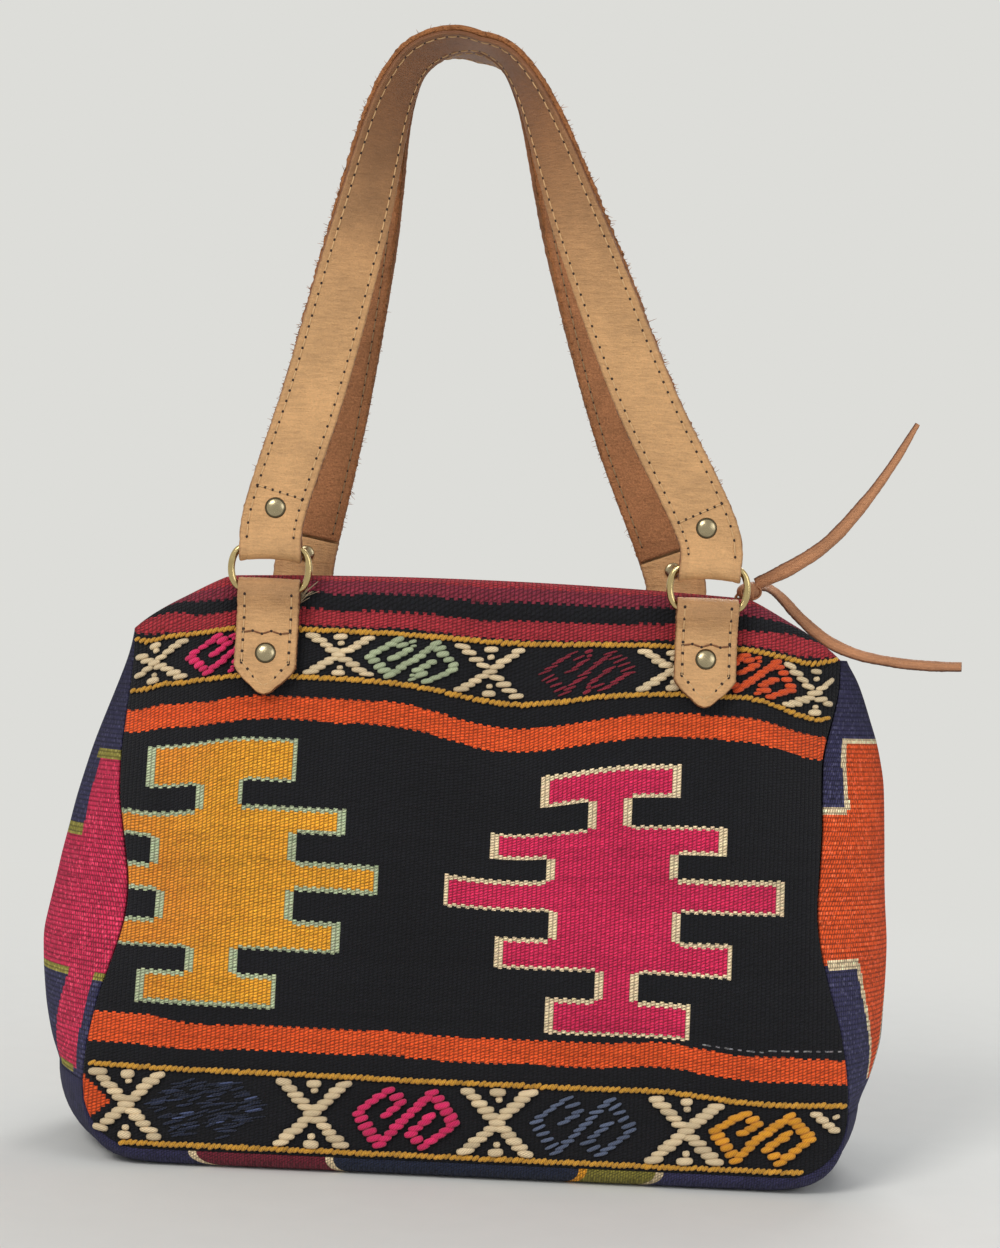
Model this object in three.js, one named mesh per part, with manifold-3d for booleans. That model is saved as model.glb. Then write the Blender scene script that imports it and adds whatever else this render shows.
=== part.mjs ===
// Tapestry handbag: a wedge of flat-woven cloth with a zip along its ridge, two leather
// handles on brass rings and a knotted leather thong as the zip's pull.
// Millimetres, +Z up, the front panel faces -Y, the origin is the middle of the flat base.

import * as THREE from 'three';
import { mergeVertices } from 'three/addons/utils/BufferGeometryUtils.js';
import Module from 'manifold-3d';

const wasm = await Module();
wasm.setup();

// Body
const BASE_DEPTH = 112;
const SEAM_HEIGHT = 8;
const BOTTOM_ROUND = 27;
const SHOULDER_HEIGHT = 240;
const ROLL_HEIGHT = 12;
const HEM_DIP = 3;
const SHOULDER_DEPTH = 34;
const CREST_DEPTH = 21;
const MOUTH_WIDTH = 10;
const CROWN_RISE = 4;
const CORNER_DROOP = 24;
const TOP_WIDTH = 304;
const WAIST_PULL = 2;
const LOWER_FLARE = 13;
const FACE_BULGE = 6;
const GUSSET_BULGE = 34;
const GUSSET_FOOT = 10;
const GUSSET_TOP_CUT = 2.4;
const CLOTH = 2.4;
const RELIEF = 0.6;
const SEAM_GAP = 0.6;
const WARP_PITCH = 1;

// Base panel
const BASE_ROUND = 10;

// Zip
const ZIP_LENGTH = 242;
const TAPE_WIDTH = 10;
const TAPE_THICKNESS = 0.8;
const COIL_WIDTH = 2.6;
const COIL_HEIGHT = 2;
const COIL_GAP = 1.5;
const STOP_LENGTH = 2;
const SLIDER_LENGTH = 12;
const SLIDER_WIDTH = 8.4;
const SLIDER_PLATE = 1.2;
const SLIDER_PLAY = 0.3;
const SLIDER_POST = 0.9;
const BAIL_LENGTH = 9;
const BAIL_WIDTH = 2.4;
const BAIL_WIRE = 1.4;
const BAIL_HOLE = 3.6;

// Thong
const THONG_WIDTH = 5.6;
const THONG_THICKNESS = 1.7;
const THONG_EDGE = 0.5;
const KNOT_SIZE = new THREE.Vector3(12, 9, 8);

// Rings, tabs and straps
const FRONT_RING_SPAN = 192;
const BACK_RING_SPAN = 170;
const BACK_TAB_DROP = 20;
const RING_WIRE = 3.1;
const RING_BAR_SPACING = 17.6;
const RING_BOW = 5.4;
const LEATHER_WIDTH = 27;
const LOOP_PLAY = 1.1;
const RING_PLAY = 0.5;
const PLY_GAP = 0.3;
const TAB_PLY = 2;
const TAB_LENGTH = 51;
const TAB_REACH = 38;
const TAB_TIP_DROP = 12;
const TAB_TIP_TRIM = 0.01;
const TAB_STANDOFF = 0.8;
const TAB_PINCH = 14;
const STRAP_OUTER_PLY = 1.9;
const STRAP_INNER_PLY = 2.4;
const STRAP_FOLD = 11;
const STRAP_TAIL = 26;
const APEX_HEIGHT = 492;
const APEX_OFFSET = -21;
const ARCH_RADIUS = 30;
const HANDLE_GAP = 0.6;

// Rivets
const RIVET_CAP = 9.4;
const RIVET_DOME = 1.7;
const RIVET_CLINCH = 1;
const RIVET_POST = 3.2;
const RIVET_PLAY = 0.3;
const CLOTH_SAG = 0.6;
const TAB_RIVET_UP = 18;
const RIGHT_TAB_SHORTER = 3;
const RIGHT_RIVET_HIGHER = 6;
const STRAP_RIVET_UP = 18;

// Pattern of the cloth
const EDGE_LINE = 3.4;
const LOWER_BROCADE = 29.6;
const CORD_LINE = 3;
const LOWER_BLACK = 8;
const LOWER_ORANGE = 10;
const UPPER_ORANGE = 10;
const UPPER_BLACK = 8;
const UPPER_BROCADE = 19;
const THIN_BLACK = 1.6;
const RED_STRIPE = 6;
const RIDGE_BLACK = 4;
const DARK_RED_STRIPE = 3;
const BROCADE_STEPS = 4;
const BROCADE_OVERLAP = 2;
const CROSS_HALF = 15;
const LOZENGE_HALF = 21;
const UPPER_PERIOD = 72;
const UPPER_SHIFT = 4;
const LOWER_PERIOD = 80;
const LOWER_SHIFT = 15;
const MEDALLION_ROW = 13;
const MEDALLION_OUTLINE = 3;
const MEDALLION_HALF_WIDTHS = [32, 10, 52, 31, 72, 31, 52, 10, 32];
const GOLD_PLACE = -110;
const PINK_PLACE = 60;
const LEFT_MOTIF = [
  { from: 43, to: 80, low: 0.14, high: 0.36 },
  { from: 80, to: 140, low: 0.02, high: 0.6 },
  { from: 140, to: 174, low: 0.06, high: 0.34 },
];
const RIGHT_MOTIF = [
  { from: 50, to: 100, low: 0.2, high: 0.42 },
  { from: 100, to: 166, low: 0.02, high: 0.66 },
  { from: 166, to: 196, low: 0.12, high: 0.42 },
];
const GUSSET_OUTLINE = 6;

const COLOURS = {
  black: 0x1e1e21,
  orange: 0xe15f28,
  red: 0xa53237,
  darkRed: 0x732832,
  brightRed: 0xb33a40,
  gold: 0xe1a02d,
  sage: 0x96aa82,
  pink: 0xd7325a,
  cream: 0xdcc09b,
  violet: 0x464164,
  olive: 0x8c8232,
  burgundy: 0x7d1e2d,
  navy: 0x282d41,
  slate: 0x555f78,
  yellow: 0xc89632,
  leather: 0xdeaf78,
  innerLeather: 0xb98a58,
  thong: 0xc68458,
  brass: 0xa08a5a,
  zip: 0x8a7a55,
  tape: 0x2a2624,
};

// Sizes that follow from the driving ones
const CREST_HEIGHT = SHOULDER_HEIGHT + ROLL_HEIGHT;
const HEM_HEIGHT = CREST_HEIGHT - HEM_DIP;
const TAB_TIP_HEIGHT = SHOULDER_HEIGHT - TAB_REACH;
const PANEL_HALF = TOP_WIDTH / 2;
const FACE_LENGTH = Math.hypot(SHOULDER_HEIGHT - SEAM_HEIGHT, (BASE_DEPTH - SHOULDER_DEPTH) / 2);
const ROLL_LENGTH = Math.hypot(ROLL_HEIGHT, (SHOULDER_DEPTH - CREST_DEPTH) / 2);
const LIP_LENGTH = Math.hypot(HEM_DIP, (CREST_DEPTH - MOUTH_WIDTH) / 2);
const PANEL_LENGTH = FACE_LENGTH + ROLL_LENGTH + LIP_LENGTH;
const GUSSET_LENGTH = FACE_LENGTH - GUSSET_TOP_CUT;
const ZIP_END = ZIP_LENGTH / TOP_WIDTH;
const CORNER_START = ZIP_END + 0.05;
const CORNER_DEPTH = 2 * (CLOTH + 2 * SEAM_GAP);
const ZIP_TOP = HEM_HEIGHT - CLOTH;
const COIL_MIDDLE = ZIP_TOP - TAPE_THICKNESS / 2;
const SLIDER_REST = ZIP_LENGTH / 2 - STOP_LENGTH - SLIDER_LENGTH / 2;
const BAR_RADIUS = RING_WIRE / 2;
const LOOP_INSIDE = BAR_RADIUS + LOOP_PLAY;
const MEDALLION_HEIGHT = MEDALLION_ROW * MEDALLION_HALF_WIDTHS.length;

const { smoothstep, lerp, clamp } = THREE.MathUtils;

// Solids from vertex loops and triangle lists

function signedVolume(triangles) {
  let volume = 0;
  const normal = new THREE.Vector3();
  for (const [a, b, c] of triangles) {
    volume += a.dot(normal.crossVectors(b, c));
  }
  return volume;
}

function geometryFrom(triangles, colours) {
  const flip = signedVolume(triangles) < 0;
  const positions = [];
  const tints = [];
  triangles.forEach((triangle, index) => {
    const corners = flip ? [triangle[0], triangle[2], triangle[1]] : triangle;
    corners.forEach((corner) => positions.push(corner.x, corner.y, corner.z));
    if (colours) {
      const tint = new THREE.Color(colours[index]);
      corners.forEach(() => tints.push(tint.r, tint.g, tint.b));
    }
  });
  const geometry = new THREE.BufferGeometry();
  geometry.setAttribute('position', new THREE.Float32BufferAttribute(positions, 3));
  if (colours) {
    geometry.setAttribute('color', new THREE.Float32BufferAttribute(tints, 3));
  }
  geometry.computeVertexNormals();
  return geometry;
}

// A skin through vertex loops of equal length, closed by flat caps or back onto its first loop
function loft(loops, closedPath = false) {
  const triangles = [];
  const count = loops[0].length;
  const spans = closedPath ? loops.length : loops.length - 1;
  for (let k = 0; k < spans; k += 1) {
    const here = loops[k];
    const next = loops[(k + 1) % loops.length];
    for (let i = 0; i < count; i += 1) {
      const j = (i + 1) % count;
      triangles.push([here[i], here[j], next[j]], [here[i], next[j], next[i]]);
    }
  }
  if (!closedPath) {
    const first = loops[0];
    const last = loops[loops.length - 1];
    for (let i = 1; i < count - 1; i += 1) {
      triangles.push([first[0], first[i + 1], first[i]], [last[0], last[i], last[i + 1]]);
    }
  }
  return geometryFrom(triangles);
}

// Triangles between two chains of {point, at}, advancing along whichever lags behind
function zipper(lower, upper, triangles) {
  let i = 0;
  let j = 0;
  while (i < lower.length - 1 || j < upper.length - 1) {
    const lowerNext = i < lower.length - 1 ? lower[i + 1].at : Infinity;
    const upperNext = j < upper.length - 1 ? upper[j + 1].at : Infinity;
    if (lowerNext <= upperNext) {
      triangles.push([lower[i].point, lower[i + 1].point, upper[j].point]);
      i += 1;
    } else {
      triangles.push([lower[i].point, upper[j + 1].point, upper[j].point]);
      j += 1;
    }
  }
}

function toSolid(geometry) {
  const bare = new THREE.BufferGeometry();
  bare.setAttribute('position', geometry.getAttribute('position'));
  bare.setIndex(geometry.getIndex());
  const merged = mergeVertices(bare, 1e-4);
  return new wasm.Manifold(new wasm.Mesh({
    numProp: 3,
    vertProperties: new Float32Array(merged.getAttribute('position').array),
    triVerts: new Uint32Array(merged.getIndex().array),
  }));
}

// The same with a colour on each corner, so that a cut keeps the cloth's pattern
function toTintedSolid(geometry) {
  const position = geometry.getAttribute('position');
  const colour = geometry.getAttribute('color');
  const values = new Float32Array(position.count * 6);
  for (let i = 0; i < position.count; i += 1) {
    values.set([position.getX(i), position.getY(i), position.getZ(i)], i * 6);
    values.set([colour.getX(i), colour.getY(i), colour.getZ(i)], i * 6 + 3);
  }
  const mesh = new wasm.Mesh({
    numProp: 6,
    vertProperties: values,
    triVerts: Uint32Array.from({ length: position.count }, (_, i) => i),
  });
  mesh.merge();
  return new wasm.Manifold(mesh);
}

function fromSolid(solid) {
  const mesh = solid.getMesh();
  const positions = [];
  const tints = [];
  for (const vertex of mesh.triVerts) {
    const start = vertex * mesh.numProp;
    positions.push(...mesh.vertProperties.slice(start, start + 3));
    if (mesh.numProp === 6) {
      tints.push(...mesh.vertProperties.slice(start + 3, start + 6));
    }
  }
  const geometry = new THREE.BufferGeometry();
  geometry.setAttribute('position', new THREE.Float32BufferAttribute(positions, 3));
  if (tints.length > 0) {
    geometry.setAttribute('color', new THREE.Float32BufferAttribute(tints, 3));
  }
  geometry.computeVertexNormals();
  return geometry;
}

function join(...geometries) {
  return fromSolid(geometries.map(toSolid).reduce((whole, piece) => whole.add(piece)));
}

function cut(geometry, ...tools) {
  const start = geometry.getAttribute('color') ? toTintedSolid(geometry) : toSolid(geometry);
  return fromSolid(tools.map(toSolid).reduce((rest, tool) => rest.subtract(tool), start));
}

// The mirror image behind the ridge
function mirrored(geometry) {
  const copy = geometry.index ? geometry.toNonIndexed() : geometry.clone();
  const triangles = [];
  const position = copy.getAttribute('position');
  for (let i = 0; i < position.count; i += 3) {
    const corners = [0, 1, 2].map((k) => new THREE.Vector3().fromBufferAttribute(position, i + k));
    corners.forEach((corner) => corner.setY(-corner.y));
    triangles.push(corners);
  }
  const back = geometryFrom(triangles);
  const colour = copy.getAttribute('color');
  if (colour) {
    const tints = [];
    for (let i = 0; i < colour.count; i += 3) {
      for (let k = 0; k < 3; k += 1) {
        tints.push(colour.getX(i), colour.getY(i), colour.getZ(i));
      }
    }
    back.setAttribute('color', new THREE.Float32BufferAttribute(tints, 3));
  }
  return back;
}

// Outer form of the bag

// Half the width of the front face at a level from 0 at the base to 1 at the shoulder
function halfWidth(level) {
  const flare = LOWER_FLARE * (1 - smoothstep(level, 0.15, 0.55));
  const waist = WAIST_PULL * Math.sin(Math.PI * clamp((level - 0.3) / 0.4, 0, 1));
  return PANEL_HALF + flare - waist;
}

// Height of the bottom seam: level along the middle, then rising round the lower corners
function seamHeight(across) {
  const half = halfWidth(0);
  const past = clamp((Math.abs(across) * half - half) / BOTTOM_ROUND + 1, 0, 1);
  return SEAM_HEIGHT + BOTTOM_ROUND * (1 - Math.sqrt(1 - past * past));
}

// How far a column at a share of the half width belongs to the drooping corner
function cornerShare(across) {
  return clamp((Math.abs(across) - CORNER_START) / (1 - CORNER_START), 0, 1) ** 2;
}

function shoulderHeight(across) {
  return SHOULDER_HEIGHT - CORNER_DROOP * cornerShare(across);
}

function levelAt(across, height) {
  return (height - SEAM_HEIGHT) / (shoulderHeight(across) - SEAM_HEIGHT);
}

function faceDepth(across, level) {
  const top = lerp(SHOULDER_DEPTH, CORNER_DEPTH, cornerShare(across)) / 2;
  const swell = FACE_BULGE * (1 - across * across) * Math.sin(Math.PI * level);
  return lerp(BASE_DEPTH / 2, top, level) + swell;
}

// A point of the front's outer face; across runs -1 to 1, along is the length up from the seam
function panelPoint(across, along) {
  const corner = cornerShare(across);
  const drop = CORNER_DROOP * corner;
  const shoulder = shoulderHeight(across);
  const height = lerp(seamHeight(across), shoulder, clamp(along / FACE_LENGTH, 0, 1));
  const level = levelAt(across, height);
  const x = across * (halfWidth(level) - SEAM_GAP / 2);
  if (along <= FACE_LENGTH) {
    return new THREE.Vector3(x, -faceDepth(across, level), height);
  }
  const crown = CROWN_RISE * (1 - (across / CORNER_START) ** 2) * (1 - corner);
  const crest = CREST_HEIGHT - drop + Math.max(crown, 0);
  const crestDepth = lerp(CREST_DEPTH, CORNER_DEPTH - SEAM_GAP, corner) / 2;
  if (along <= FACE_LENGTH + ROLL_LENGTH) {
    const turn = ((along - FACE_LENGTH) / ROLL_LENGTH) * Math.PI / 2;
    const depth = crestDepth + (faceDepth(across, 1) - crestDepth) * Math.cos(turn);
    return new THREE.Vector3(x, -depth, shoulder + (crest - shoulder) * Math.sin(turn));
  }
  const lip = (along - FACE_LENGTH - ROLL_LENGTH) / LIP_LENGTH;
  const hemDepth = lerp(MOUTH_WIDTH, SEAM_GAP, corner) / 2;
  const hem = lerp(HEM_HEIGHT, crest - SEAM_GAP, corner) - (corner > 0 ? drop * (1 - corner) : 0);
  return new THREE.Vector3(x, -lerp(crestDepth, hemDepth, lip), lerp(crest, hem, lip));
}

function bulge(share) {
  return GUSSET_FOOT * (1 - share) ** 2 + GUSSET_BULGE * Math.sin(Math.PI * share);
}

// A point of the right gusset; across runs -1 at the front seam to 1 at the back seam
function gussetPoint(across, along) {
  const seam = panelPoint(1, along);
  const depth = -seam.y;
  const step = across * (1 - SEAM_GAP / (2 * depth));
  const swell = bulge(along / FACE_LENGTH) * (1 - step * step);
  return new THREE.Vector3(seam.x + SEAM_GAP / 2 + swell, depth * step, seam.z);
}

// Length up the side seam at which it reaches a height
function sideLength(height) {
  const bottom = seamHeight(1);
  return (FACE_LENGTH * (height - bottom)) / (shoulderHeight(1) - bottom);
}

// Direction from the outer to the inner edge where the front face and the right gusset meet
function seamMitre(along) {
  const share = clamp(along / FACE_LENGTH, 0, 1);
  const intoFace = new THREE.Vector3(-1, 0, 0);
  const intoGusset = new THREE.Vector3(2 * bulge(share), -panelPoint(1, along).y, 0).normalize();
  const middle = intoFace.add(intoGusset).normalize();
  const lean = Math.abs(middle.x * intoGusset.y - middle.y * intoGusset.x);
  return middle.multiplyScalar(CLOTH / lean);
}

// Patterned cloth

// Outward direction of a surface by small steps to either side
function surfaceNormal(surface, across, along, length) {
  const step = 1e-3;
  const span = length * step;
  const right = surface(Math.min(across + step, 1), along);
  const left = surface(Math.max(across - step, -1), along);
  const up = surface(across, Math.min(along + span, length));
  const down = surface(across, Math.max(along - span, 0));
  return right.sub(left).cross(up.sub(down)).normalize();
}

// Cells of one row: the ground overpainted by intervals, split at the columns of the sheet
function rowCells(half, ground, intervals, columns) {
  const snap = (value) => clamp(Math.round(value / WARP_PITCH) * WARP_PITCH, -half, half);
  const painted = intervals.map((item) => ({ ...item, low: snap(item.low), high: snap(item.high) }));
  const breaks = new Set([-half, half, ...columns.map((share) => snap(share * half))]);
  painted.forEach((item) => breaks.add(item.low).add(item.high));
  const lines = [...breaks].sort((a, b) => a - b);
  return lines.slice(1).map((high, k) => {
    const low = lines[k];
    const middle = (low + high) / 2;
    const top = painted.filter((item) => item.low < middle && middle < item.high).pop();
    return { low, high, ...(top ? { colour: top.colour, raised: 1 } : ground) };
  });
}

// A closed sheet of cloth: the patterned outside with raised fields, a plain inside and its rim
function clothSheet({ surface, length, half, rows, inner, backColumns, backLines, backColour }) {
  const triangles = [];
  const colours = [];
  const fill = (colour) => {
    while (colours.length < triangles.length) {
      colours.push(colour);
    }
  };
  const place = (at, along, raised) => {
    const across = at / half;
    const point = surface(across, along);
    return point.addScaledVector(surfaceNormal(surface, across, along, length), raised * RELIEF);
  };
  const linesOf = (row) => (row ? [row.cells[0].low, ...row.cells.map((cell) => cell.high)] : []);
  const shared = rows.map((row, k) => linesOf(row).concat(linesOf(rows[k + 1])));
  shared.unshift(linesOf(rows[0]));
  const between = (lines, low, high) => [...new Set(lines)]
    .filter((at) => at >= low && at <= high)
    .sort((a, b) => a - b);
  const chain = (lines, cell, along) => between(lines, cell.low, cell.high)
    .map((at) => ({ at, point: place(at, along, cell.raised) }));
  const wall = (a, b, c, d, colour) => {
    triangles.push([a, b, c], [a, c, d]);
    fill(colour);
  };
  const cellAt = (row, at) => row.cells.find((cell) => cell.low < at && at < cell.high);

  rows.forEach((row, k) => {
    row.cells.forEach((cell, n) => {
      zipper(chain(shared[k], cell, row.from), chain(shared[k + 1], cell, row.to), triangles);
      fill(cell.colour);
      const next = row.cells[n + 1];
      if (next && next.raised !== cell.raised) {
        const at = cell.high;
        wall(
          place(at, row.from, cell.raised),
          place(at, row.from, next.raised),
          place(at, row.to, next.raised),
          place(at, row.to, cell.raised),
          cell.raised ? cell.colour : next.colour,
        );
      }
    });
    const above = rows[k + 1];
    if (above) {
      const lines = between(shared[k + 1], -half, half);
      lines.slice(1).forEach((high, n) => {
        const low = lines[n];
        const here = cellAt(row, (low + high) / 2);
        const there = cellAt(above, (low + high) / 2);
        if (here.raised !== there.raised) {
          wall(
            place(low, row.to, here.raised),
            place(high, row.to, here.raised),
            place(high, row.to, there.raised),
            place(low, row.to, there.raised),
            here.raised ? here.colour : there.colour,
          );
        }
      });
    }
  });

  const backAt = Array.from({ length: backColumns + 1 }, (_, k) => -half + (2 * half * k) / backColumns);
  const backPoint = (at, along) => inner(at / half, along);
  for (let k = 0; k < backLines.length - 1; k += 1) {
    for (let n = 0; n < backColumns; n += 1) {
      const a = backPoint(backAt[n], backLines[k]);
      const b = backPoint(backAt[n + 1], backLines[k]);
      const c = backPoint(backAt[n + 1], backLines[k + 1]);
      const d = backPoint(backAt[n], backLines[k + 1]);
      triangles.push([a, c, b], [a, d, c]);
    }
  }

  const endChain = (row, along, lines) => row.cells.flatMap((cell) => chain(lines, cell, along));
  const sideChain = (pick, at) => rows.flatMap((row) => {
    const { raised } = pick(row.cells);
    return [row.from, row.to].map((along) => ({ at: along, point: place(at, along, raised) }));
  });
  const distinct = (points) => points.filter((item, k) => (
    k === 0 || item.point.distanceTo(points[k - 1].point) > 1e-6
  ));
  const backEnd = (along) => backAt.map((at) => ({ at, point: backPoint(at, along) }));
  const backSide = (at) => backLines.map((along) => ({ at: along, point: backPoint(at, along) }));
  const last = rows[rows.length - 1];
  zipper(backEnd(0), distinct(endChain(rows[0], 0, shared[0])), triangles);
  zipper(distinct(endChain(last, length, shared[rows.length])), backEnd(length), triangles);
  zipper(distinct(sideChain((cells) => cells[0], -half)), backSide(-half), triangles);
  zipper(backSide(half), distinct(sideChain((cells) => cells[cells.length - 1], half)), triangles);
  fill(backColour);
  return geometryFrom(triangles, colours);
}

// Rows stacked from a list of bands; each band gives its height and its row-by-row paint
function stackRows(bands, half, columns, tallest) {
  const rows = [];
  let from = 0;
  bands.forEach(({ height, ground, paint }) => {
    const count = paint ? paint.length : Math.max(1, Math.round(height / tallest(from)));
    for (let k = 0; k < count; k += 1) {
      const to = from + height / count;
      const intervals = paint ? paint[k] : [];
      rows.push({ from, to, cells: rowCells(half, ground, intervals, columns(from)) });
      from = to;
    }
  });
  return rows;
}

// Crosses and lozenges of a brocade band, stepped like the stitches they stand for
function brocadePaint(half, period, shift, lozenges) {
  const rows = [];
  const arm = CROSS_HALF / BROCADE_STEPS + BROCADE_OVERLAP / 2;
  for (let k = 0; k < BROCADE_STEPS; k += 1) {
    const height = Math.abs((2 * k + 1) / BROCADE_STEPS - 1);
    const spread = CROSS_HALF * height;
    const width = LOZENGE_HALF * (1 - height) + BROCADE_OVERLAP;
    const intervals = [];
    const first = Math.ceil((-half - period - shift) / period);
    const last = Math.floor((half + period - shift) / period);
    for (let n = first; n <= last; n += 1) {
      const middle = n * period + shift;
      const colour = COLOURS.cream;
      intervals.push({ low: middle - spread - arm, high: middle - spread + arm, colour });
      intervals.push({ low: middle + spread - arm, high: middle + spread + arm, colour });
      const centre = middle + period / 2;
      const tint = lozenges[(n - first) % lozenges.length];
      intervals.push({ low: centre - width, high: centre + width, colour: tint });
    }
    rows.push(intervals.filter((item) => item.high > -half + 1 && item.low < half - 1));
  }
  return rows;
}

// One row of a stepped medallion as intervals: its outline, then the filling over it
function medallionIntervals(place, outline, filling, row, part) {
  const widths = MEDALLION_HALF_WIDTHS;
  const width = widths[row];
  const beside = part === 0 ? widths[row - 1] ?? 0 : widths[row + 1] ?? 0;
  const open = part === 1 ? width : Math.min(width, beside);
  const inside = open - MEDALLION_OUTLINE;
  const intervals = [{ low: place - width, high: place + width, colour: outline }];
  if (inside > 0) {
    intervals.push({ low: place - inside, high: place + inside, colour: filling });
  }
  return intervals;
}

function medallionBands(ground, places) {
  const heights = [MEDALLION_OUTLINE, MEDALLION_ROW - 2 * MEDALLION_OUTLINE, MEDALLION_OUTLINE];
  return MEDALLION_HALF_WIDTHS.flatMap((_, row) => heights.map((height, part) => ({
    height,
    ground,
    paint: [places.flatMap(({ place, outline, filling }) => (
      medallionIntervals(place, outline, filling, row, part)
    ))],
  })));
}

// Stripes, brocade bands and medallions of a large panel, from the bottom seam to the hem
function panelRows() {
  const half = PANEL_HALF;
  const flat = (colour) => ({ colour, raised: 0 });
  const raised = (colour) => ({ colour, raised: 1 });
  const black = flat(COLOURS.black);
  const cord = { height: CORD_LINE, ground: raised(COLOURS.yellow) };
  const places = [
    { place: GOLD_PLACE, outline: COLOURS.sage, filling: COLOURS.gold },
    { place: PINK_PLACE, outline: COLOURS.cream, filling: COLOURS.pink },
  ];
  const lower = [COLOURS.gold, COLOURS.orange, COLOURS.navy, COLOURS.pink, COLOURS.slate];
  const upper = [COLOURS.orange, COLOURS.pink, COLOURS.pink, COLOURS.sage, COLOURS.burgundy];
  const below = [
    { height: EDGE_LINE, ground: raised(COLOURS.yellow) },
    { height: LOWER_BROCADE, ground: black, paint: brocadePaint(half, LOWER_PERIOD, LOWER_SHIFT, lower) },
    cord,
    { height: LOWER_BLACK, ground: black },
    { height: LOWER_ORANGE, ground: raised(COLOURS.orange) },
  ];
  const above = [
    { height: UPPER_ORANGE, ground: raised(COLOURS.orange) },
    { height: UPPER_BLACK, ground: black },
    cord,
    { height: UPPER_BROCADE, ground: black, paint: brocadePaint(half, UPPER_PERIOD, UPPER_SHIFT, upper) },
    cord,
    { height: THIN_BLACK, ground: black },
    { height: RED_STRIPE, ground: raised(COLOURS.red) },
    { height: RIDGE_BLACK, ground: black },
    { height: DARK_RED_STRIPE, ground: raised(COLOURS.darkRed) },
  ];
  const total = (bands) => bands.reduce((sum, band) => sum + band.height, 0);
  const ridge = FACE_LENGTH + ROLL_LENGTH / 2;
  const field = ridge - total(below) - total(above);
  const margin = { height: (field - MEDALLION_HEIGHT) / 2, ground: black };
  const bands = [...below, margin, ...medallionBands(black, places), margin, ...above];
  bands.push({ height: ROLL_LENGTH / 2, ground: flat(COLOURS.brightRed) });
  bands.push({ height: LIP_LENGTH, ground: flat(COLOURS.brightRed) });
  const tallest = (from) => (from > FACE_LENGTH - RIDGE_BLACK ? ROLL_LENGTH / 4 : SHOULDER_HEIGHT / 6);
  const bend = (1 + CORNER_START) / 2;
  const pairs = (shares) => [...shares.map((share) => -share), 0, ...shares];
  const round = [1, 0.66, 0.4, 0.2, 0.07].map((part) => 1 - (part * BOTTOM_ROUND) / halfWidth(0));
  const columns = (from) => pairs(from < EDGE_LINE ? round : [CORNER_START, bend]);
  return stackRows(bands, half, columns, tallest);
}

function frontPanel() {
  const inner = (across, along) => {
    const point = panelPoint(across, along);
    if (Math.abs(across) === 1 && along <= FACE_LENGTH) {
      const mitre = seamMitre(along);
      return point.add(mitre.setX(mitre.x * across));
    }
    const normal = surfaceNormal(panelPoint, across, along, PANEL_LENGTH);
    if (along === 0) {
      normal.setZ(0).normalize();
    }
    return point.addScaledVector(normal, -CLOTH);
  };
  const faceLines = Array.from({ length: 9 }, (_, k) => (FACE_LENGTH * k) / 8);
  return clothSheet({
    surface: panelPoint,
    length: PANEL_LENGTH,
    half: PANEL_HALF,
    rows: panelRows(),
    inner,
    backColumns: 14,
    backLines: [...faceLines, FACE_LENGTH + ROLL_LENGTH / 2, FACE_LENGTH + ROLL_LENGTH, PANEL_LENGTH],
    backColour: COLOURS.black,
  });
}

// The wedge at one side, with a stepped motif near its front seam
function rightGusset(motif, filling, outline) {
  const half = BASE_DEPTH / 2;
  const ground = { colour: COLOURS.violet, raised: 0 };
  const bands = [{ height: sideLength(motif[0].from), ground }];
  const paintOf = ({ low, high }, colour) => ({
    low: -half + 2 * half * low,
    high: -half + 2 * half * high,
    colour,
  });
  motif.forEach((step) => {
    const edge = sideLength(step.from + GUSSET_OUTLINE) - sideLength(step.from);
    const height = sideLength(step.to) - sideLength(step.from) - 2 * edge;
    const paint = [[paintOf(step, filling)], [paintOf(step, filling)]];
    bands.push({ height: edge, ground, paint: [[paintOf(step, outline)]] });
    bands.push({ height, ground, paint });
    bands.push({ height: edge, ground, paint: [[paintOf(step, outline)]] });
  });
  bands.push({ height: GUSSET_LENGTH - sideLength(motif[motif.length - 1].to), ground });
  const inner = (across, along) => {
    const point = gussetPoint(across, along);
    if (Math.abs(across) === 1) {
      const mitre = seamMitre(along);
      return point.add(mitre.setY(-mitre.y * across));
    }
    const normal = surfaceNormal(gussetPoint, across, along, GUSSET_LENGTH);
    if (along === 0) {
      normal.setZ(0).normalize();
    }
    return point.addScaledVector(normal, -CLOTH);
  };
  const quarters = [-0.75, -0.5, -0.25, 0, 0.25, 0.5, 0.75];
  return clothSheet({
    surface: gussetPoint,
    length: GUSSET_LENGTH,
    half,
    rows: stackRows(bands, half, () => quarters, () => GUSSET_LENGTH / 12),
    inner,
    backColumns: 8,
    backLines: Array.from({ length: 11 }, (_, k) => (GUSSET_LENGTH * k) / 10),
    backColour: COLOURS.violet,
  });
}

// The left gusset is made as a right one and mirrored to the other side
function leftGusset(motif, filling, outline) {
  const turned = mirrored(rightGusset(motif, filling, outline));
  turned.rotateZ(Math.PI);
  return turned;
}

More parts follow.
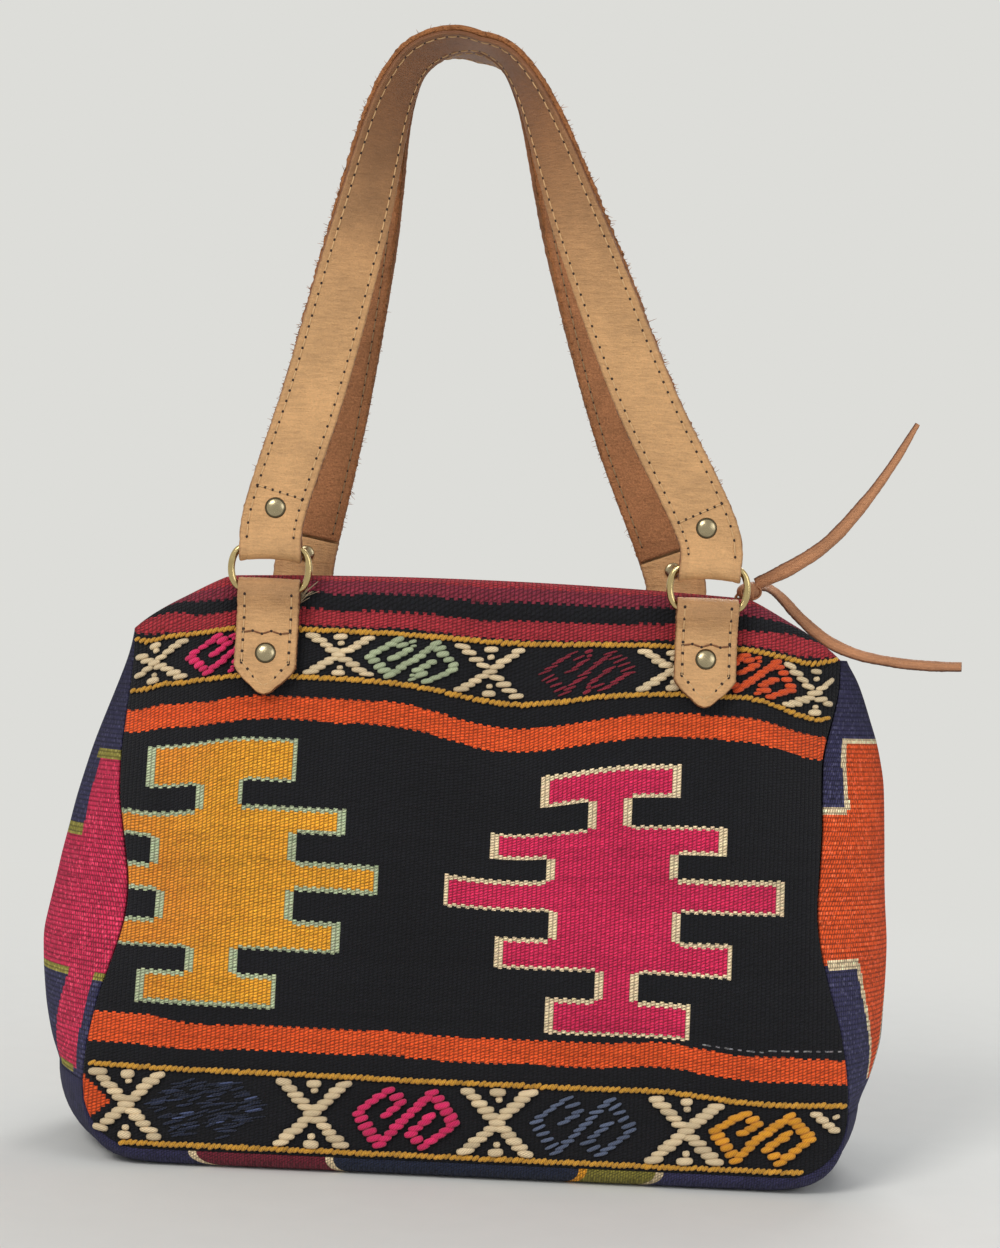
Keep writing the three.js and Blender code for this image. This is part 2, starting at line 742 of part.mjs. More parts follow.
// A tray of cloth: flat below, curled up to the bottom seam and further up at its two ends
function basePanel() {
  const half = halfWidth(0);
  const round = BOTTOM_ROUND + SEAM_GAP;
  const straight = half - BOTTOM_ROUND;
  const rimTop = seamHeight(1) - SEAM_GAP;
  const straightSteps = 10;
  const roundSteps = 5;
  const endSteps = 6;
  const depthAt = (x, z) => {
    const across = Math.min(Math.abs(x) / half, 1);
    return faceDepth(across, Math.max(levelAt(across, z), 0));
  };
  const rim = [];
  const frontPoint = (x, z) => {
    const y = -depthAt(x, z);
    rim.push({ outer: new THREE.Vector3(x, y, z), inner: new THREE.Vector3(x, y + CLOTH, z) });
  };
  const cornerPoint = (side, turn) => {
    const angle = (turn * Math.PI) / 2;
    const z = SEAM_HEIGHT + BOTTOM_ROUND - round * Math.cos(angle);
    frontPoint(side * (straight + round * Math.sin(angle)), Math.min(z, rimTop));
  };
  for (let k = roundSteps; k > 0; k -= 1) {
    cornerPoint(-1, k / roundSteps);
  }
  for (let k = 0; k <= straightSteps; k += 1) {
    frontPoint(lerp(-straight, straight, k / straightSteps), SEAM_HEIGHT - SEAM_GAP);
  }
  for (let k = 1; k <= roundSteps; k += 1) {
    cornerPoint(1, k / roundSteps);
  }
  const depth = depthAt(half, rimTop);
  for (let k = 1; k < endSteps; k += 1) {
    const across = (2 * k) / endSteps - 1;
    const x = half + SEAM_GAP + bulge(0) * (1 - across * across);
    const outer = new THREE.Vector3(x, across * depth, rimTop);
    rim.push({ outer, inner: outer.clone().setX(x - CLOTH) });
  }
  const halfTurn = new THREE.Vector3(-1, -1, 1);
  const outline = rim.concat(rim.map(({ outer, inner }) => ({
    outer: outer.clone().multiply(halfTurn),
    inner: inner.clone().multiply(halfTurn),
  })));
  const reachX = half + bulge(0);
  const reachY = BASE_DEPTH / 2;
  const inset = (point, extra, z) => new THREE.Vector3(
    point.x * (1 - (BOTTOM_ROUND + extra) / reachX),
    point.y * (1 - (BASE_ROUND + extra) / reachY),
    z,
  );
  const curled = (top, bottom, angle) => new THREE.Vector3(
    lerp(bottom.x, top.x, Math.cos(angle)),
    lerp(bottom.y, top.y, Math.cos(angle)),
    lerp(top.z, bottom.z, Math.sin(angle)),
  );
  const angles = [0, 0.5, 1].map((turn) => (turn * Math.PI) / 2);
  const outside = angles.map((angle) => outline.map(({ outer }) => curled(outer, inset(outer, 0, 0), angle)));
  const inside = angles.map((angle) => outline.map(({ outer, inner }) => (
    curled(inner, inset(outer, CLOTH, CLOTH), angle)
  )));
  return loft([...inside.reverse(), ...outside]);
}

// Zip

function box(sizeX, sizeY, sizeZ, x, y, z) {
  const geometry = new THREE.BoxGeometry(sizeX, sizeY, sizeZ);
  return geometry.translate(x, y, z);
}

// One half of the zip: a tape with a coil of moulded teeth along its inner edge, on the front side
function zipTape() {
  const half = COIL_WIDTH / 2;
  const middle = -(COIL_GAP / 2 + half);
  const section = new THREE.Shape();
  section.absellipse(0, 0, half, COIL_HEIGHT / 2, 0, 2 * Math.PI);
  const settings = { depth: ZIP_LENGTH, bevelEnabled: false, curveSegments: 4 };
  const coil = new THREE.ExtrudeGeometry(section, settings);
  coil.rotateY(Math.PI / 2).translate(-ZIP_LENGTH / 2, 0, 0);
  coil.rotateX(Math.PI / 2).translate(0, middle, COIL_MIDDLE);
  const outer = (MOUTH_WIDTH + TAPE_WIDTH) / 2;
  const width = outer + middle;
  const tape = box(ZIP_LENGTH, width, TAPE_THICKNESS, 0, middle - width / 2, COIL_MIDDLE);
  return join(tape, coil);
}

// A stop closes the gap between the tapes beyond the last teeth
function zipStop(side) {
  const x = side * (ZIP_LENGTH / 2 - STOP_LENGTH / 2);
  return box(STOP_LENGTH, COIL_GAP - 2 * SLIDER_PLAY, COIL_HEIGHT, x, 0, COIL_MIDDLE);
}

// Two plates on a post, with a bail on top for the thong
function zipSlider() {
  const reach = COIL_HEIGHT / 2 + SLIDER_PLAY;
  const plate = new THREE.Shape();
  const nose = SLIDER_LENGTH / 2;
  plate.moveTo(-nose, -SLIDER_WIDTH / 3);
  plate.lineTo(0, -SLIDER_WIDTH / 2);
  plate.lineTo(nose, -SLIDER_WIDTH / 2);
  plate.lineTo(nose, SLIDER_WIDTH / 2);
  plate.lineTo(0, SLIDER_WIDTH / 2);
  plate.lineTo(-nose, SLIDER_WIDTH / 3);
  const settings = { depth: SLIDER_PLATE, bevelEnabled: false };
  const upper = new THREE.ExtrudeGeometry(plate, settings).translate(0, 0, COIL_MIDDLE + reach);
  const lower = new THREE.ExtrudeGeometry(plate, settings);
  lower.translate(0, 0, COIL_MIDDLE - reach - SLIDER_PLATE);
  const post = box(SLIDER_LENGTH / 3, SLIDER_POST, 2 * reach + SLIDER_PLATE, 0, 0, COIL_MIDDLE);
  const arch = new THREE.Shape();
  const outside = BAIL_LENGTH / 2;
  const inside = outside - BAIL_WIRE;
  const foot = COIL_MIDDLE + reach + SLIDER_PLATE / 2;
  const spring = bailTop() - BAIL_WIRE - BAIL_HOLE / 2;
  arch.moveTo(-outside, foot);
  arch.lineTo(-outside, spring);
  arch.quadraticCurveTo(-outside, bailTop(), -inside / 2, bailTop());
  arch.lineTo(inside / 2, bailTop());
  arch.quadraticCurveTo(outside, bailTop(), outside, spring);
  arch.lineTo(outside, foot);
  arch.lineTo(inside, foot);
  arch.lineTo(inside, bailTop() - BAIL_WIRE);
  arch.lineTo(-inside, bailTop() - BAIL_WIRE);
  arch.lineTo(-inside, foot);
  const bail = new THREE.ExtrudeGeometry(arch, { depth: BAIL_WIDTH, bevelEnabled: false, curveSegments: 4 });
  bail.rotateX(Math.PI / 2).translate(0, BAIL_WIDTH / 2, 0);
  return join(upper, lower, post, bail);
}

function bailTop() {
  return COIL_MIDDLE + COIL_HEIGHT / 2 + SLIDER_PLAY + SLIDER_PLATE + BAIL_HOLE + BAIL_WIRE;
}

// Thong

// The turn of thong through the bail, with the knot above it
function thongKnot() {
  const band = new THREE.Shape();
  const inside = BAIL_WIDTH / 2 + PLY_GAP;
  const outside = inside + THONG_THICKNESS;
  const low = bailTop() - BAIL_WIRE - PLY_GAP;
  const high = bailTop() + PLY_GAP;
  band.moveTo(-outside, low - THONG_THICKNESS);
  band.lineTo(outside, low - THONG_THICKNESS);
  band.lineTo(outside, high + THONG_THICKNESS);
  band.lineTo(-outside, high + THONG_THICKNESS);
  const hole = new THREE.Path();
  hole.moveTo(-inside, low);
  hole.lineTo(-inside, high);
  hole.lineTo(inside, high);
  hole.lineTo(inside, low);
  band.holes.push(hole);
  const width = BAIL_LENGTH - 2 * BAIL_WIRE - 2 * PLY_GAP;
  const turn = new THREE.ExtrudeGeometry(band, { depth: width, bevelEnabled: false });
  turn.rotateX(Math.PI / 2).rotateZ(Math.PI / 2).translate(-width / 2, 0, 0);
  const knot = new THREE.IcosahedronGeometry(0.5, 1);
  knot.scale(KNOT_SIZE.x, KNOT_SIZE.y, KNOT_SIZE.z);
  knot.translate(0, 0, high + THONG_THICKNESS / 2 + KNOT_SIZE.z / 2);
  return join(turn, knot);
}

// A flat thong along a hand-laid route; side is the direction its width starts in
function thongTail(route, side) {
  const curve = new THREE.CatmullRomCurve3(route.map((point) => new THREE.Vector3(...point)));
  const steps = 12;
  const half = THONG_WIDTH / 2;
  const shoulder = half - THONG_EDGE;
  const face = THONG_THICKNESS / 2;
  const edge = face - THONG_EDGE;
  const quarter = [[half, edge], [shoulder, face]];
  const turned = quarter.map(([across, depth]) => [-across, depth]).reverse();
  const upper = [...quarter, ...turned];
  const section = [...upper, ...upper.map(([across, depth]) => [-across, -depth])];
  const loops = [];
  for (let k = 0; k <= steps; k += 1) {
    const point = curve.getPointAt(k / steps);
    const tangent = curve.getTangentAt(k / steps);
    const flat = new THREE.Vector3().crossVectors(tangent, side).normalize();
    const wide = new THREE.Vector3().crossVectors(flat, tangent).normalize();
    loops.push(section.map(([across, depth]) => (
      point.clone().addScaledVector(wide, across).addScaledVector(flat, depth)
    )));
  }
  return loft(loops);
}

const UPPER_ROUTE = [
  [118.9, 0, 260],
  [133, -1, 267.5],
  [149.5, -1, 279.5],
  [165.5, 0, 298.5],
  [177.5, 1, 316.5],
  [187.5, 2, 334.5],
];
const LOWER_ROUTE = [
  [117.3, 3.3, 258.8],
  [125, 12, 258.5],
  [132, 19, 254.5],
  [141, 23.5, 246],
  [150, 24.5, 238.5],
  [158, 23, 233.5],
  [169, 20, 229.5],
  [186, 15, 227],
  [201, 11, 226.4],
  [214, 8, 226.8],
];

// Rivets

// A domed cap, a post and a flat clinch; the leather and cloth lie between the two heads
function rivet(grip) {
  const clearance = 2 * RIVET_PLAY / 3;
  const cap = RIVET_CAP / 2;
  const post = RIVET_POST / 2;
  const top = grip / 2 + clearance;
  const profile = [
    new THREE.Vector2(0, -top - RIVET_CLINCH),
    new THREE.Vector2(cap * 0.85, -top - RIVET_CLINCH),
    new THREE.Vector2(cap * 0.85, -top),
    new THREE.Vector2(post, -top),
    new THREE.Vector2(post, top),
    new THREE.Vector2(cap, top),
    new THREE.Vector2(cap * 0.8, top + RIVET_DOME * 0.7),
    new THREE.Vector2(0, top + RIVET_DOME),
  ];
  return new THREE.LatheGeometry(profile, 12);
}

function rivetHole() {
  return new THREE.CylinderGeometry(RIVET_POST / 2 + RIVET_PLAY, RIVET_POST / 2 + RIVET_PLAY, 24, 8);
}

// Turns a piece made along +Y onto an axis and moves it to a point
function aim(geometry, axis, point) {
  const turn = new THREE.Quaternion().setFromUnitVectors(new THREE.Vector3(0, 1, 0), axis);
  return geometry.applyQuaternion(turn).translate(point.x, point.y, point.z);
}

// Rings, tabs and straps of the front; the back is their mirror image with its own span and drop

// Where a handle's ring sits: its place across the bag and how far its tab is set down the face
function seatOf(handle, side) {
  return { x: (side * handle.span) / 2, drop: handle.drop };
}

// Line of a tab's back ply: it touches the cloth near the tip and again below the fold
function tabLine(seat) {
  const across = seat.x / PANEL_HALF;
  const stretch = FACE_LENGTH / (SHOULDER_HEIGHT - SEAM_HEIGHT);
  const tip = panelPoint(across, stretch * (TAB_TIP_HEIGHT - seat.drop - SEAM_HEIGHT));
  const upper = panelPoint(across, FACE_LENGTH + 0.4 * ROLL_LENGTH - stretch * seat.drop);
  const up = new THREE.Vector3(0, upper.y - tip.y, upper.z - tip.z).normalize();
  const out = new THREE.Vector3(0, -up.z, up.y);
  const start = tip.setX(0).addScaledVector(out, RELIEF + TAB_STANDOFF + TAB_PLY / 2);
  return { start, up, out };
}

// Centre of the ring's lower bar, at the top of the tab's fold
function lowerBar(seat) {
  const { start, up, out } = tabLine(seat);
  return start.clone()
    .addScaledVector(up, TAB_LENGTH - TAB_PLY - LOOP_INSIDE)
    .addScaledVector(out, LOOP_INSIDE + TAB_PLY / 2);
}

function upperBar(seat) {
  return lowerBar(seat).add(new THREE.Vector3(0, 0, RING_BAR_SPACING));
}

// The right tabs are cut a little shorter and their rivets sit higher
function tabCut(seat) {
  const right = seat.x > 0;
  return {
    tip: right ? RIGHT_TAB_SHORTER : 0,
    rivet: TAB_RIVET_UP + (right ? RIGHT_RIVET_HIGHER : 0),
  };
}

// A strip of leather folded over the lower bar, both plies cut to the same pointed end
function tab(seat) {
  const { start, up, out } = tabLine(seat);
  const turn = LOOP_INSIDE + TAB_PLY / 2;
  const rise = TAB_LENGTH - TAB_PLY - LOOP_INSIDE;
  const frontPly = TAB_PLY + PLY_GAP;
  const middle = [];
  middle.push([frontPly, 0], [frontPly, rise - TAB_PINCH]);
  middle.push([lerp(frontPly, 2 * turn, 0.3), rise - TAB_PINCH * 0.6]);
  middle.push([lerp(frontPly, 2 * turn, 0.85), rise - TAB_PINCH * 0.25]);
  const foldSteps = 6;
  for (let k = 0; k <= foldSteps; k += 1) {
    const angle = (Math.PI * k) / foldSteps;
    middle.push([turn + turn * Math.cos(angle), rise + turn * Math.sin(angle)]);
  }
  middle.push([0, rise - TAB_PINCH], [0, 0]);
  const path = middle.map(([depth, height]) => new THREE.Vector2(depth, height));
  const offset = (side) => path.map((point, k) => {
    const before = path[Math.max(k - 1, 0)];
    const after = path[Math.min(k + 1, path.length - 1)];
    const along = after.clone().sub(before).normalize();
    return new THREE.Vector2(point.x - along.y * side, point.y + along.x * side);
  });
  const section = new THREE.Shape([...offset(TAB_PLY / 2), ...offset(-TAB_PLY / 2).reverse()]);
  const strip = new THREE.ExtrudeGeometry(section, { depth: LEATHER_WIDTH, bevelEnabled: false });
  strip.translate(0, 0, -LEATHER_WIDTH / 2);
  const half = LEATHER_WIDTH / 2;
  const { tip } = tabCut(seat);
  const waist = tip + TAB_TIP_DROP * 0.45;
  const shoulder = tip + TAB_TIP_DROP;
  const beyond = 1;
  const point = new THREE.Shape();
  point.moveTo(-half - beyond, TAB_LENGTH + beyond);
  point.lineTo(-half - beyond, shoulder);
  point.lineTo(-half, shoulder);
  point.quadraticCurveTo(-half * 0.75, waist, 0, tip + TAB_TIP_TRIM);
  point.quadraticCurveTo(half * 0.75, waist, half, shoulder);
  point.lineTo(half + beyond, shoulder);
  point.lineTo(half + beyond, TAB_LENGTH + beyond);
  const thick = TAB_LENGTH;
  const stencil = new THREE.ExtrudeGeometry(point, { depth: thick, bevelEnabled: false, curveSegments: 3 });
  stencil.applyMatrix4(new THREE.Matrix4().makeBasis(
    new THREE.Vector3(0, 0, 1),
    new THREE.Vector3(0, 1, 0),
    new THREE.Vector3(-1, 0, 0),
  )).translate(thick / 2, 0, 0);
  const flat = fromSolid(toSolid(strip).intersect(toSolid(stencil)));
  flat.applyMatrix4(new THREE.Matrix4().makeBasis(out, up, new THREE.Vector3(-1, 0, 0)));
  flat.translate(seat.x, start.y, start.z);
  return cut(flat, aim(rivetHole(), out, tabRivetPlace(seat).point));
}

// Distance of the cloth's face behind the tab's line, at a length up the line
function clothBehind(seat, rise) {
  const { start, up, out } = tabLine(seat);
  let low = 0;
  let high = FACE_LENGTH;
  const offset = (along) => panelPoint(seat.x / PANEL_HALF, along).setX(0).sub(start);
  for (let k = 0; k < 40; k += 1) {
    const middle = (low + high) / 2;
    if (offset(middle).dot(up) < rise) {
      low = middle;
    } else {
      high = middle;
    }
  }
  return offset(low).dot(out);
}

// The grip of a tab's rivet runs from the front ply's face to the inside of the cloth
function tabRivetPlace(seat) {
  const { start, up, out } = tabLine(seat);
  const rise = tabCut(seat).rivet;
  const front = TAB_PLY * 1.5 + PLY_GAP;
  const back = clothBehind(seat, rise) - CLOTH - CLOTH_SAG;
  const point = start.clone().addScaledVector(up, rise).addScaledVector(out, (front + back) / 2);
  return { point: point.setX(seat.x), axis: out, grip: front - back };
}

// A ring of round wire: straight where leather turns on it, a half ellipse at its two sides
function ring(seat) {
  const rise = RING_BAR_SPACING / 2;
  const bend = Math.acos(1 - (LOOP_PLAY - RING_PLAY) / rise);
  const bar = LEATHER_WIDTH / 2 - RING_BOW * Math.sin(bend);
  const bowSteps = 12;
  const right = Array.from({ length: bowSteps + 1 }, (_, k) => {
    const angle = (Math.PI * k) / bowSteps;
    return [bar + RING_BOW * Math.sin(angle), rise * Math.cos(angle)];
  });
  const path = [...right, [0, -rise], ...right.map(([x, z]) => [-x, -z]), [0, rise]];
  const centre = lowerBar(seat).add(new THREE.Vector3(seat.x, 0, rise));
  const sides = 6;
  const loops = path.map(([x, z], k) => {
    const [beforeX, beforeZ] = path[(k + path.length - 1) % path.length];
    const [afterX, afterZ] = path[(k + 1) % path.length];
    const into = new THREE.Vector2(x - beforeX, z - beforeZ).normalize();
    const onward = new THREE.Vector2(afterX - x, afterZ - z).normalize();
    const along = into.clone().add(onward).normalize();
    const stretch = 1 / Math.max(along.dot(into), 0.5);
    return Array.from({ length: sides }, (_, n) => {
      const angle = (2 * Math.PI * n) / sides;
      const across = BAR_RADIUS * Math.cos(angle) * stretch;
      return new THREE.Vector3(
        centre.x + x - along.y * across,
        centre.y + BAR_RADIUS * Math.sin(angle),
        centre.z + z + along.x * across,
      );
    });
  });
  return loft(loops, true);
}

// Centre line of a strap: straight legs from the upper bars, tangent to the arch at the top
function strapCurve(handle) {
  const bar = upperBar(seatOf(handle, 1));
  const centre = new THREE.Vector2(APEX_OFFSET, APEX_HEIGHT - ARCH_RADIUS);
  const apexY = -(LEATHER_WIDTH + HANDLE_GAP) / 2;
  const leg = (side) => {
    const foot = new THREE.Vector2(seatOf(handle, side).x, bar.z);
    const away = foot.clone().sub(centre);
    const swing = Math.acos(ARCH_RADIUS / away.length());
    const angle = away.angle() + side * swing;
    return { foot, angle };
  };
  const left = leg(-1);
  const right = leg(1);
  const flat = [left.foot, left.foot.clone().add(new THREE.Vector2(0, STRAP_FOLD))];
  const onArch = (angle) => centre.clone()
    .add(new THREE.Vector2(Math.cos(angle), Math.sin(angle)).multiplyScalar(ARCH_RADIUS));
  const leftAngle = left.angle < 0 ? left.angle + 2 * Math.PI : left.angle;
  const rightAngle = right.angle > Math.PI ? right.angle - 2 * Math.PI : right.angle;
  const leftTouch = onArch(leftAngle);
  const rightTouch = onArch(rightAngle);
  flat.push(left.foot.clone().lerp(leftTouch, 0.35), left.foot.clone().lerp(leftTouch, 0.7), leftTouch);
  for (let k = 1; k < 4; k += 1) {
    flat.push(onArch(lerp(leftAngle, rightAngle, k / 4)));
  }
  flat.push(rightTouch, right.foot.clone().lerp(rightTouch, 0.7), right.foot.clone().lerp(rightTouch, 0.35));
  flat.push(right.foot.clone().add(new THREE.Vector2(0, STRAP_FOLD)), right.foot);
  const lean = (height) => lerp(bar.y, apexY, (height - bar.z) / (APEX_HEIGHT - bar.z));
  return new THREE.CatmullRomCurve3(flat.map((point) => new THREE.Vector3(point.x, lean(point.y), point.y)));
}

// Frame of the strap at a distance along it: its face turns from the front to the top at the apex
function strapFrame(curve, length, distance) {
  const share = clamp(distance / length, 0, 1);
  const point = curve.getPointAt(share);
  const tangent = curve.getTangentAt(share).setY(0).normalize();
  const inward = new THREE.Vector3(tangent.z, 0, -tangent.x);
  const nearness = 1 - Math.abs(2 * share - 1);
  const twist = (Math.PI / 2) * nearness ** 2;
  const front = new THREE.Vector3(0, -1, 0);
  const settle = smoothstep(Math.min(distance, length - distance), 0, STRAP_FOLD);
  const across = inward.clone().lerp(new THREE.Vector3(share < 0.5 ? 1 : -1, 0, 0), 1 - settle).normalize();
  return {
    point,
    wide: across.clone().multiplyScalar(Math.cos(twist)).addScaledVector(front, Math.sin(twist)),
    out: front.clone().multiplyScalar(Math.cos(twist)).addScaledVector(across, -Math.sin(twist)),
  };
}

// Section of one ply, from the face towards the other ply to the face away from it
function plySection({ point, wide, out }, near, far) {
  const half = LEATHER_WIDTH / 2;
  return [[-half, near], [half, near], [half, far], [-half, far]].map(([across, depth]) => (
    point.clone().addScaledVector(wide, across).addScaledVector(out, depth)
  ));
}

// Distances along the strap, between the folded tails, at which both plies have a section
function strapStations(length) {
  const steps = 30;
  return Array.from({ length: steps + 1 }, (_, k) => lerp(STRAP_TAIL, length - STRAP_TAIL, k / steps));
}

// Distance of the plies' inner faces from the centre line: apart round the bar, together above
function plyOpening(distance) {
  return lerp(LOOP_INSIDE, PLY_GAP / 2, smoothstep(distance, 0, STRAP_FOLD));
}

// The outer ply folds round both bars and runs a short way back up inside
function strapOuter(handle) {
  const curve = strapCurve(handle);
  const length = curve.getLength();
  const foldSteps = 5;
  const tailSteps = 5;
  const sections = [];
  const end = (side) => {
    const frameAt = (distance) => strapFrame(curve, length, side < 0 ? distance : length - distance);
    const list = [];
    for (let k = tailSteps; k >= 0; k -= 1) {
      const distance = (STRAP_TAIL * k) / tailSteps;
      const frame = frameAt(distance);
      frame.out.negate();
      list.push({ frame, opening: plyOpening(distance) });
    }
    for (let k = 1; k < foldSteps; k += 1) {
      const angle = (Math.PI * k) / foldSteps;
      const frame = frameAt(0);
      frame.out.set(0, Math.cos(angle), -Math.sin(angle));
      list.push({ frame, opening: LOOP_INSIDE });
    }
    return list;
  };
  const left = end(-1);
  const right = end(1).reverse();
  const foot = Array.from({ length: tailSteps }, (_, k) => (STRAP_TAIL * k) / tailSteps);
  const far = foot.map((distance) => length - distance).reverse();
  const middle = [...foot, ...strapStations(length), ...far].map((distance) => ({
    frame: strapFrame(curve, length, distance),
    opening: plyOpening(Math.min(distance, length - distance)),
  }));
  [...left, ...middle, ...right].forEach(({ frame, opening }) => {
    sections.push(plySection(frame, opening, opening + STRAP_OUTER_PLY));
  });
  const holes = [-1, 1].map((side) => {
    const { point, axis } = strapRivetPlace(handle, side);
    return aim(rivetHole(), axis, point);
  });
  return cut(loft(sections), ...holes);
}

// The inner ply fills the length between the two folded tails
function strapInner(handle) {
  const curve = strapCurve(handle);
  const length = curve.getLength();
  const start = STRAP_TAIL + PLY_GAP;
  return loft(strapStations(length).map((distance) => {
    const frame = strapFrame(curve, length, clamp(distance, start, length - start));
    return plySection(frame, -PLY_GAP / 2, -PLY_GAP / 2 - STRAP_INNER_PLY);
  }));
}

// A strap's rivet stands square to the leaning strap
function strapRivetPlace(handle, side) {
  const curve = strapCurve(handle);
  const length = curve.getLength();
  const distance = side < 0 ? STRAP_RIVET_UP : length - STRAP_RIVET_UP;
  const { point, out } = strapFrame(curve, length, distance);
  const axis = out.projectOnPlane(curve.getTangentAt(distance / length)).normalize();
  return { point, axis, grip: 2 * STRAP_OUTER_PLY + PLY_GAP };
}

// Materials

const cloth = new THREE.MeshStandardMaterial({ vertexColors: true, roughness: 0.95 });
const baseCloth = new THREE.MeshStandardMaterial({ color: COLOURS.darkRed, roughness: 0.95 });
const leather = new THREE.MeshStandardMaterial({ color: COLOURS.leather, roughness: 0.6 });
const innerLeather = new THREE.MeshStandardMaterial({ color: COLOURS.innerLeather, roughness: 0.7 });
const thong = new THREE.MeshStandardMaterial({ color: COLOURS.thong, roughness: 0.7 });
const brass = new THREE.MeshStandardMaterial({ color: COLOURS.brass, roughness: 0.35, metalness: 1 });
const zipMetal = new THREE.MeshStandardMaterial({ color: COLOURS.zip, roughness: 0.4, metalness: 0.8 });
const tape = new THREE.MeshStandardMaterial({ color: COLOURS.tape, roughness: 0.9 });

// Assembly

const bag = new THREE.Group();

function add(name, geometry, material, parent = bag) {
  const mesh = new THREE.Mesh(geometry, material);
  mesh.name = name;
  parent.add(mesh);
}

function panelWithHoles(panel, handle) {
  const tools = [-1, 1].map((side) => {
    const { point, axis } = tabRivetPlace(seatOf(handle, side));
    return aim(rivetHole(), axis, point);
  });
  return cut(panel, ...tools);
}

const frontHandle = { name: 'front', span: FRONT_RING_SPAN, drop: 0, turn: (geometry) => geometry };
const backHandle = { name: 'back', span: BACK_RING_SPAN, drop: BACK_TAB_DROP, turn: mirrored };

const panel = frontPanel();
add('front_panel', panelWithHoles(panel, frontHandle), cloth);
add('back_panel', mirrored(panelWithHoles(panel, backHandle)), cloth);
add('left_gusset', leftGusset(LEFT_MOTIF, COLOURS.pink, COLOURS.olive), cloth);
add('right_gusset', rightGusset(RIGHT_MOTIF, COLOURS.orange, COLOURS.cream), cloth);
add('base_panel', basePanel(), baseCloth);

add('zip_tape_front', zipTape(), tape);
add('zip_tape_back', mirrored(zipTape()), tape);
add('zip_stop_left', zipStop(-1), zipMetal);
add('zip_stop_right', zipStop(1), zipMetal);

const slider = new THREE.Group();
slider.position.x = SLIDER_REST;
bag.add(slider);
add('zip_slider', zipSlider(), zipMetal, slider);
add('thong_knot', thongKnot(), thong, slider);
add('thong_upper_tail', thongTail(UPPER_ROUTE, new THREE.Vector3(-0.6, 0, 0.8)), thong);
add('thong_lower_tail', thongTail(LOWER_ROUTE, new THREE.Vector3(0, 0, 1)), thong);

[frontHandle, backHandle].forEach((handle) => {
  const { name, turn } = handle;
  [{ side: -1, hand: 'left' }, { side: 1, hand: 'right' }].forEach(({ side, hand }) => {
    const seat = seatOf(handle, side);
    add(`${name}_${hand}_tab`, turn(tab(seat)), leather);
    add(`${name}_${hand}_ring`, turn(ring(seat)), brass);
    const held = tabRivetPlace(seat);
    add(`${name}_${hand}_tab_rivet`, turn(aim(rivet(held.grip), held.axis, held.point)), brass);
    const end = strapRivetPlace(handle, side);
    add(`${name}_${hand}_strap_rivet`, turn(aim(rivet(end.grip), end.axis, end.point)), brass);
  });
  add(`${name}_strap_outer`, turn(strapOuter(handle)), leather);
  add(`${name}_strap_inner`, turn(strapInner(handle)), innerLeather);
});

export default bag;
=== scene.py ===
import math

import bpy
import numpy as np
from mathutils import Matrix, Vector


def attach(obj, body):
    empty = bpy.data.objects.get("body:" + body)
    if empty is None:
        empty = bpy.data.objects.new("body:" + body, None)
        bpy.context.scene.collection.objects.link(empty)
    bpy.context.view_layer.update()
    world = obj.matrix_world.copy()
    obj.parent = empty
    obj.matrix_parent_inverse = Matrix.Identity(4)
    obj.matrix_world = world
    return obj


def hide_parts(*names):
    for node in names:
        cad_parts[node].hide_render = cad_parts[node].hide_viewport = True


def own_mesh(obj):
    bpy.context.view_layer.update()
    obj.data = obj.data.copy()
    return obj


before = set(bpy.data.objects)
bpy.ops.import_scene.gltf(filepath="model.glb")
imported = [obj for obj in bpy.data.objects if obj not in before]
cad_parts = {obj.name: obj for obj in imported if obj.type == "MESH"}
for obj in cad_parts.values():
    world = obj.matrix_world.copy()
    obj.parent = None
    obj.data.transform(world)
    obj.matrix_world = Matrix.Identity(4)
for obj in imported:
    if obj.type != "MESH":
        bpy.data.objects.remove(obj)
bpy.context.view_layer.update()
rng = np.random.default_rng(11)

MM = 0.001

# Form of the bag in millimetres, as in the part's source
BASE_DEPTH = 112
SEAM_HEIGHT = 8
BOTTOM_ROUND = 27
SHOULDER_HEIGHT = 240
ROLL_HEIGHT = 12
HEM_DIP = 3
SHOULDER_DEPTH = 34
CREST_DEPTH = 21
MOUTH_WIDTH = 10
CROWN_RISE = 4
CORNER_DROOP = 24
TOP_WIDTH = 304
WAIST_PULL = 2
LOWER_FLARE = 13
FACE_BULGE = 6
GUSSET_FOOT = 10
CLOTH = 2.4
RELIEF = 0.6
SEAM_GAP = 0.6
BASE_ROUND = 10
ZIP_LENGTH = 242
LEATHER_WIDTH = 27
LOOP_PLAY = 1.1
PLY_GAP = 0.3
RING_WIRE = 3.1
RING_BAR_SPACING = 17.6
TAB_PLY = 2
TAB_LENGTH = 51
TAB_REACH = 38
TAB_TIP_DROP = 12
TAB_STANDOFF = 0.8
TAB_PINCH = 14
STRAP_OUTER_PLY = 1.9
STRAP_INNER_PLY = 2.4
STRAP_FOLD = 11
STRAP_TAIL = 26
APEX_HEIGHT = 492
APEX_OFFSET = -21
ARCH_RADIUS = 30
HANDLE_GAP = 0.6
STRAP_RIVET_UP = 18
FRONT_RING_SPAN = 192
BACK_RING_SPAN = 170
BACK_TAB_DROP = 20
RING_BOW = 5.4
RING_PLAY = 0.5
THONG_WIDTH = 5.6
THONG_THICKNESS = 1.7
KNOT_CENTRE = (113, 0, 256.4)

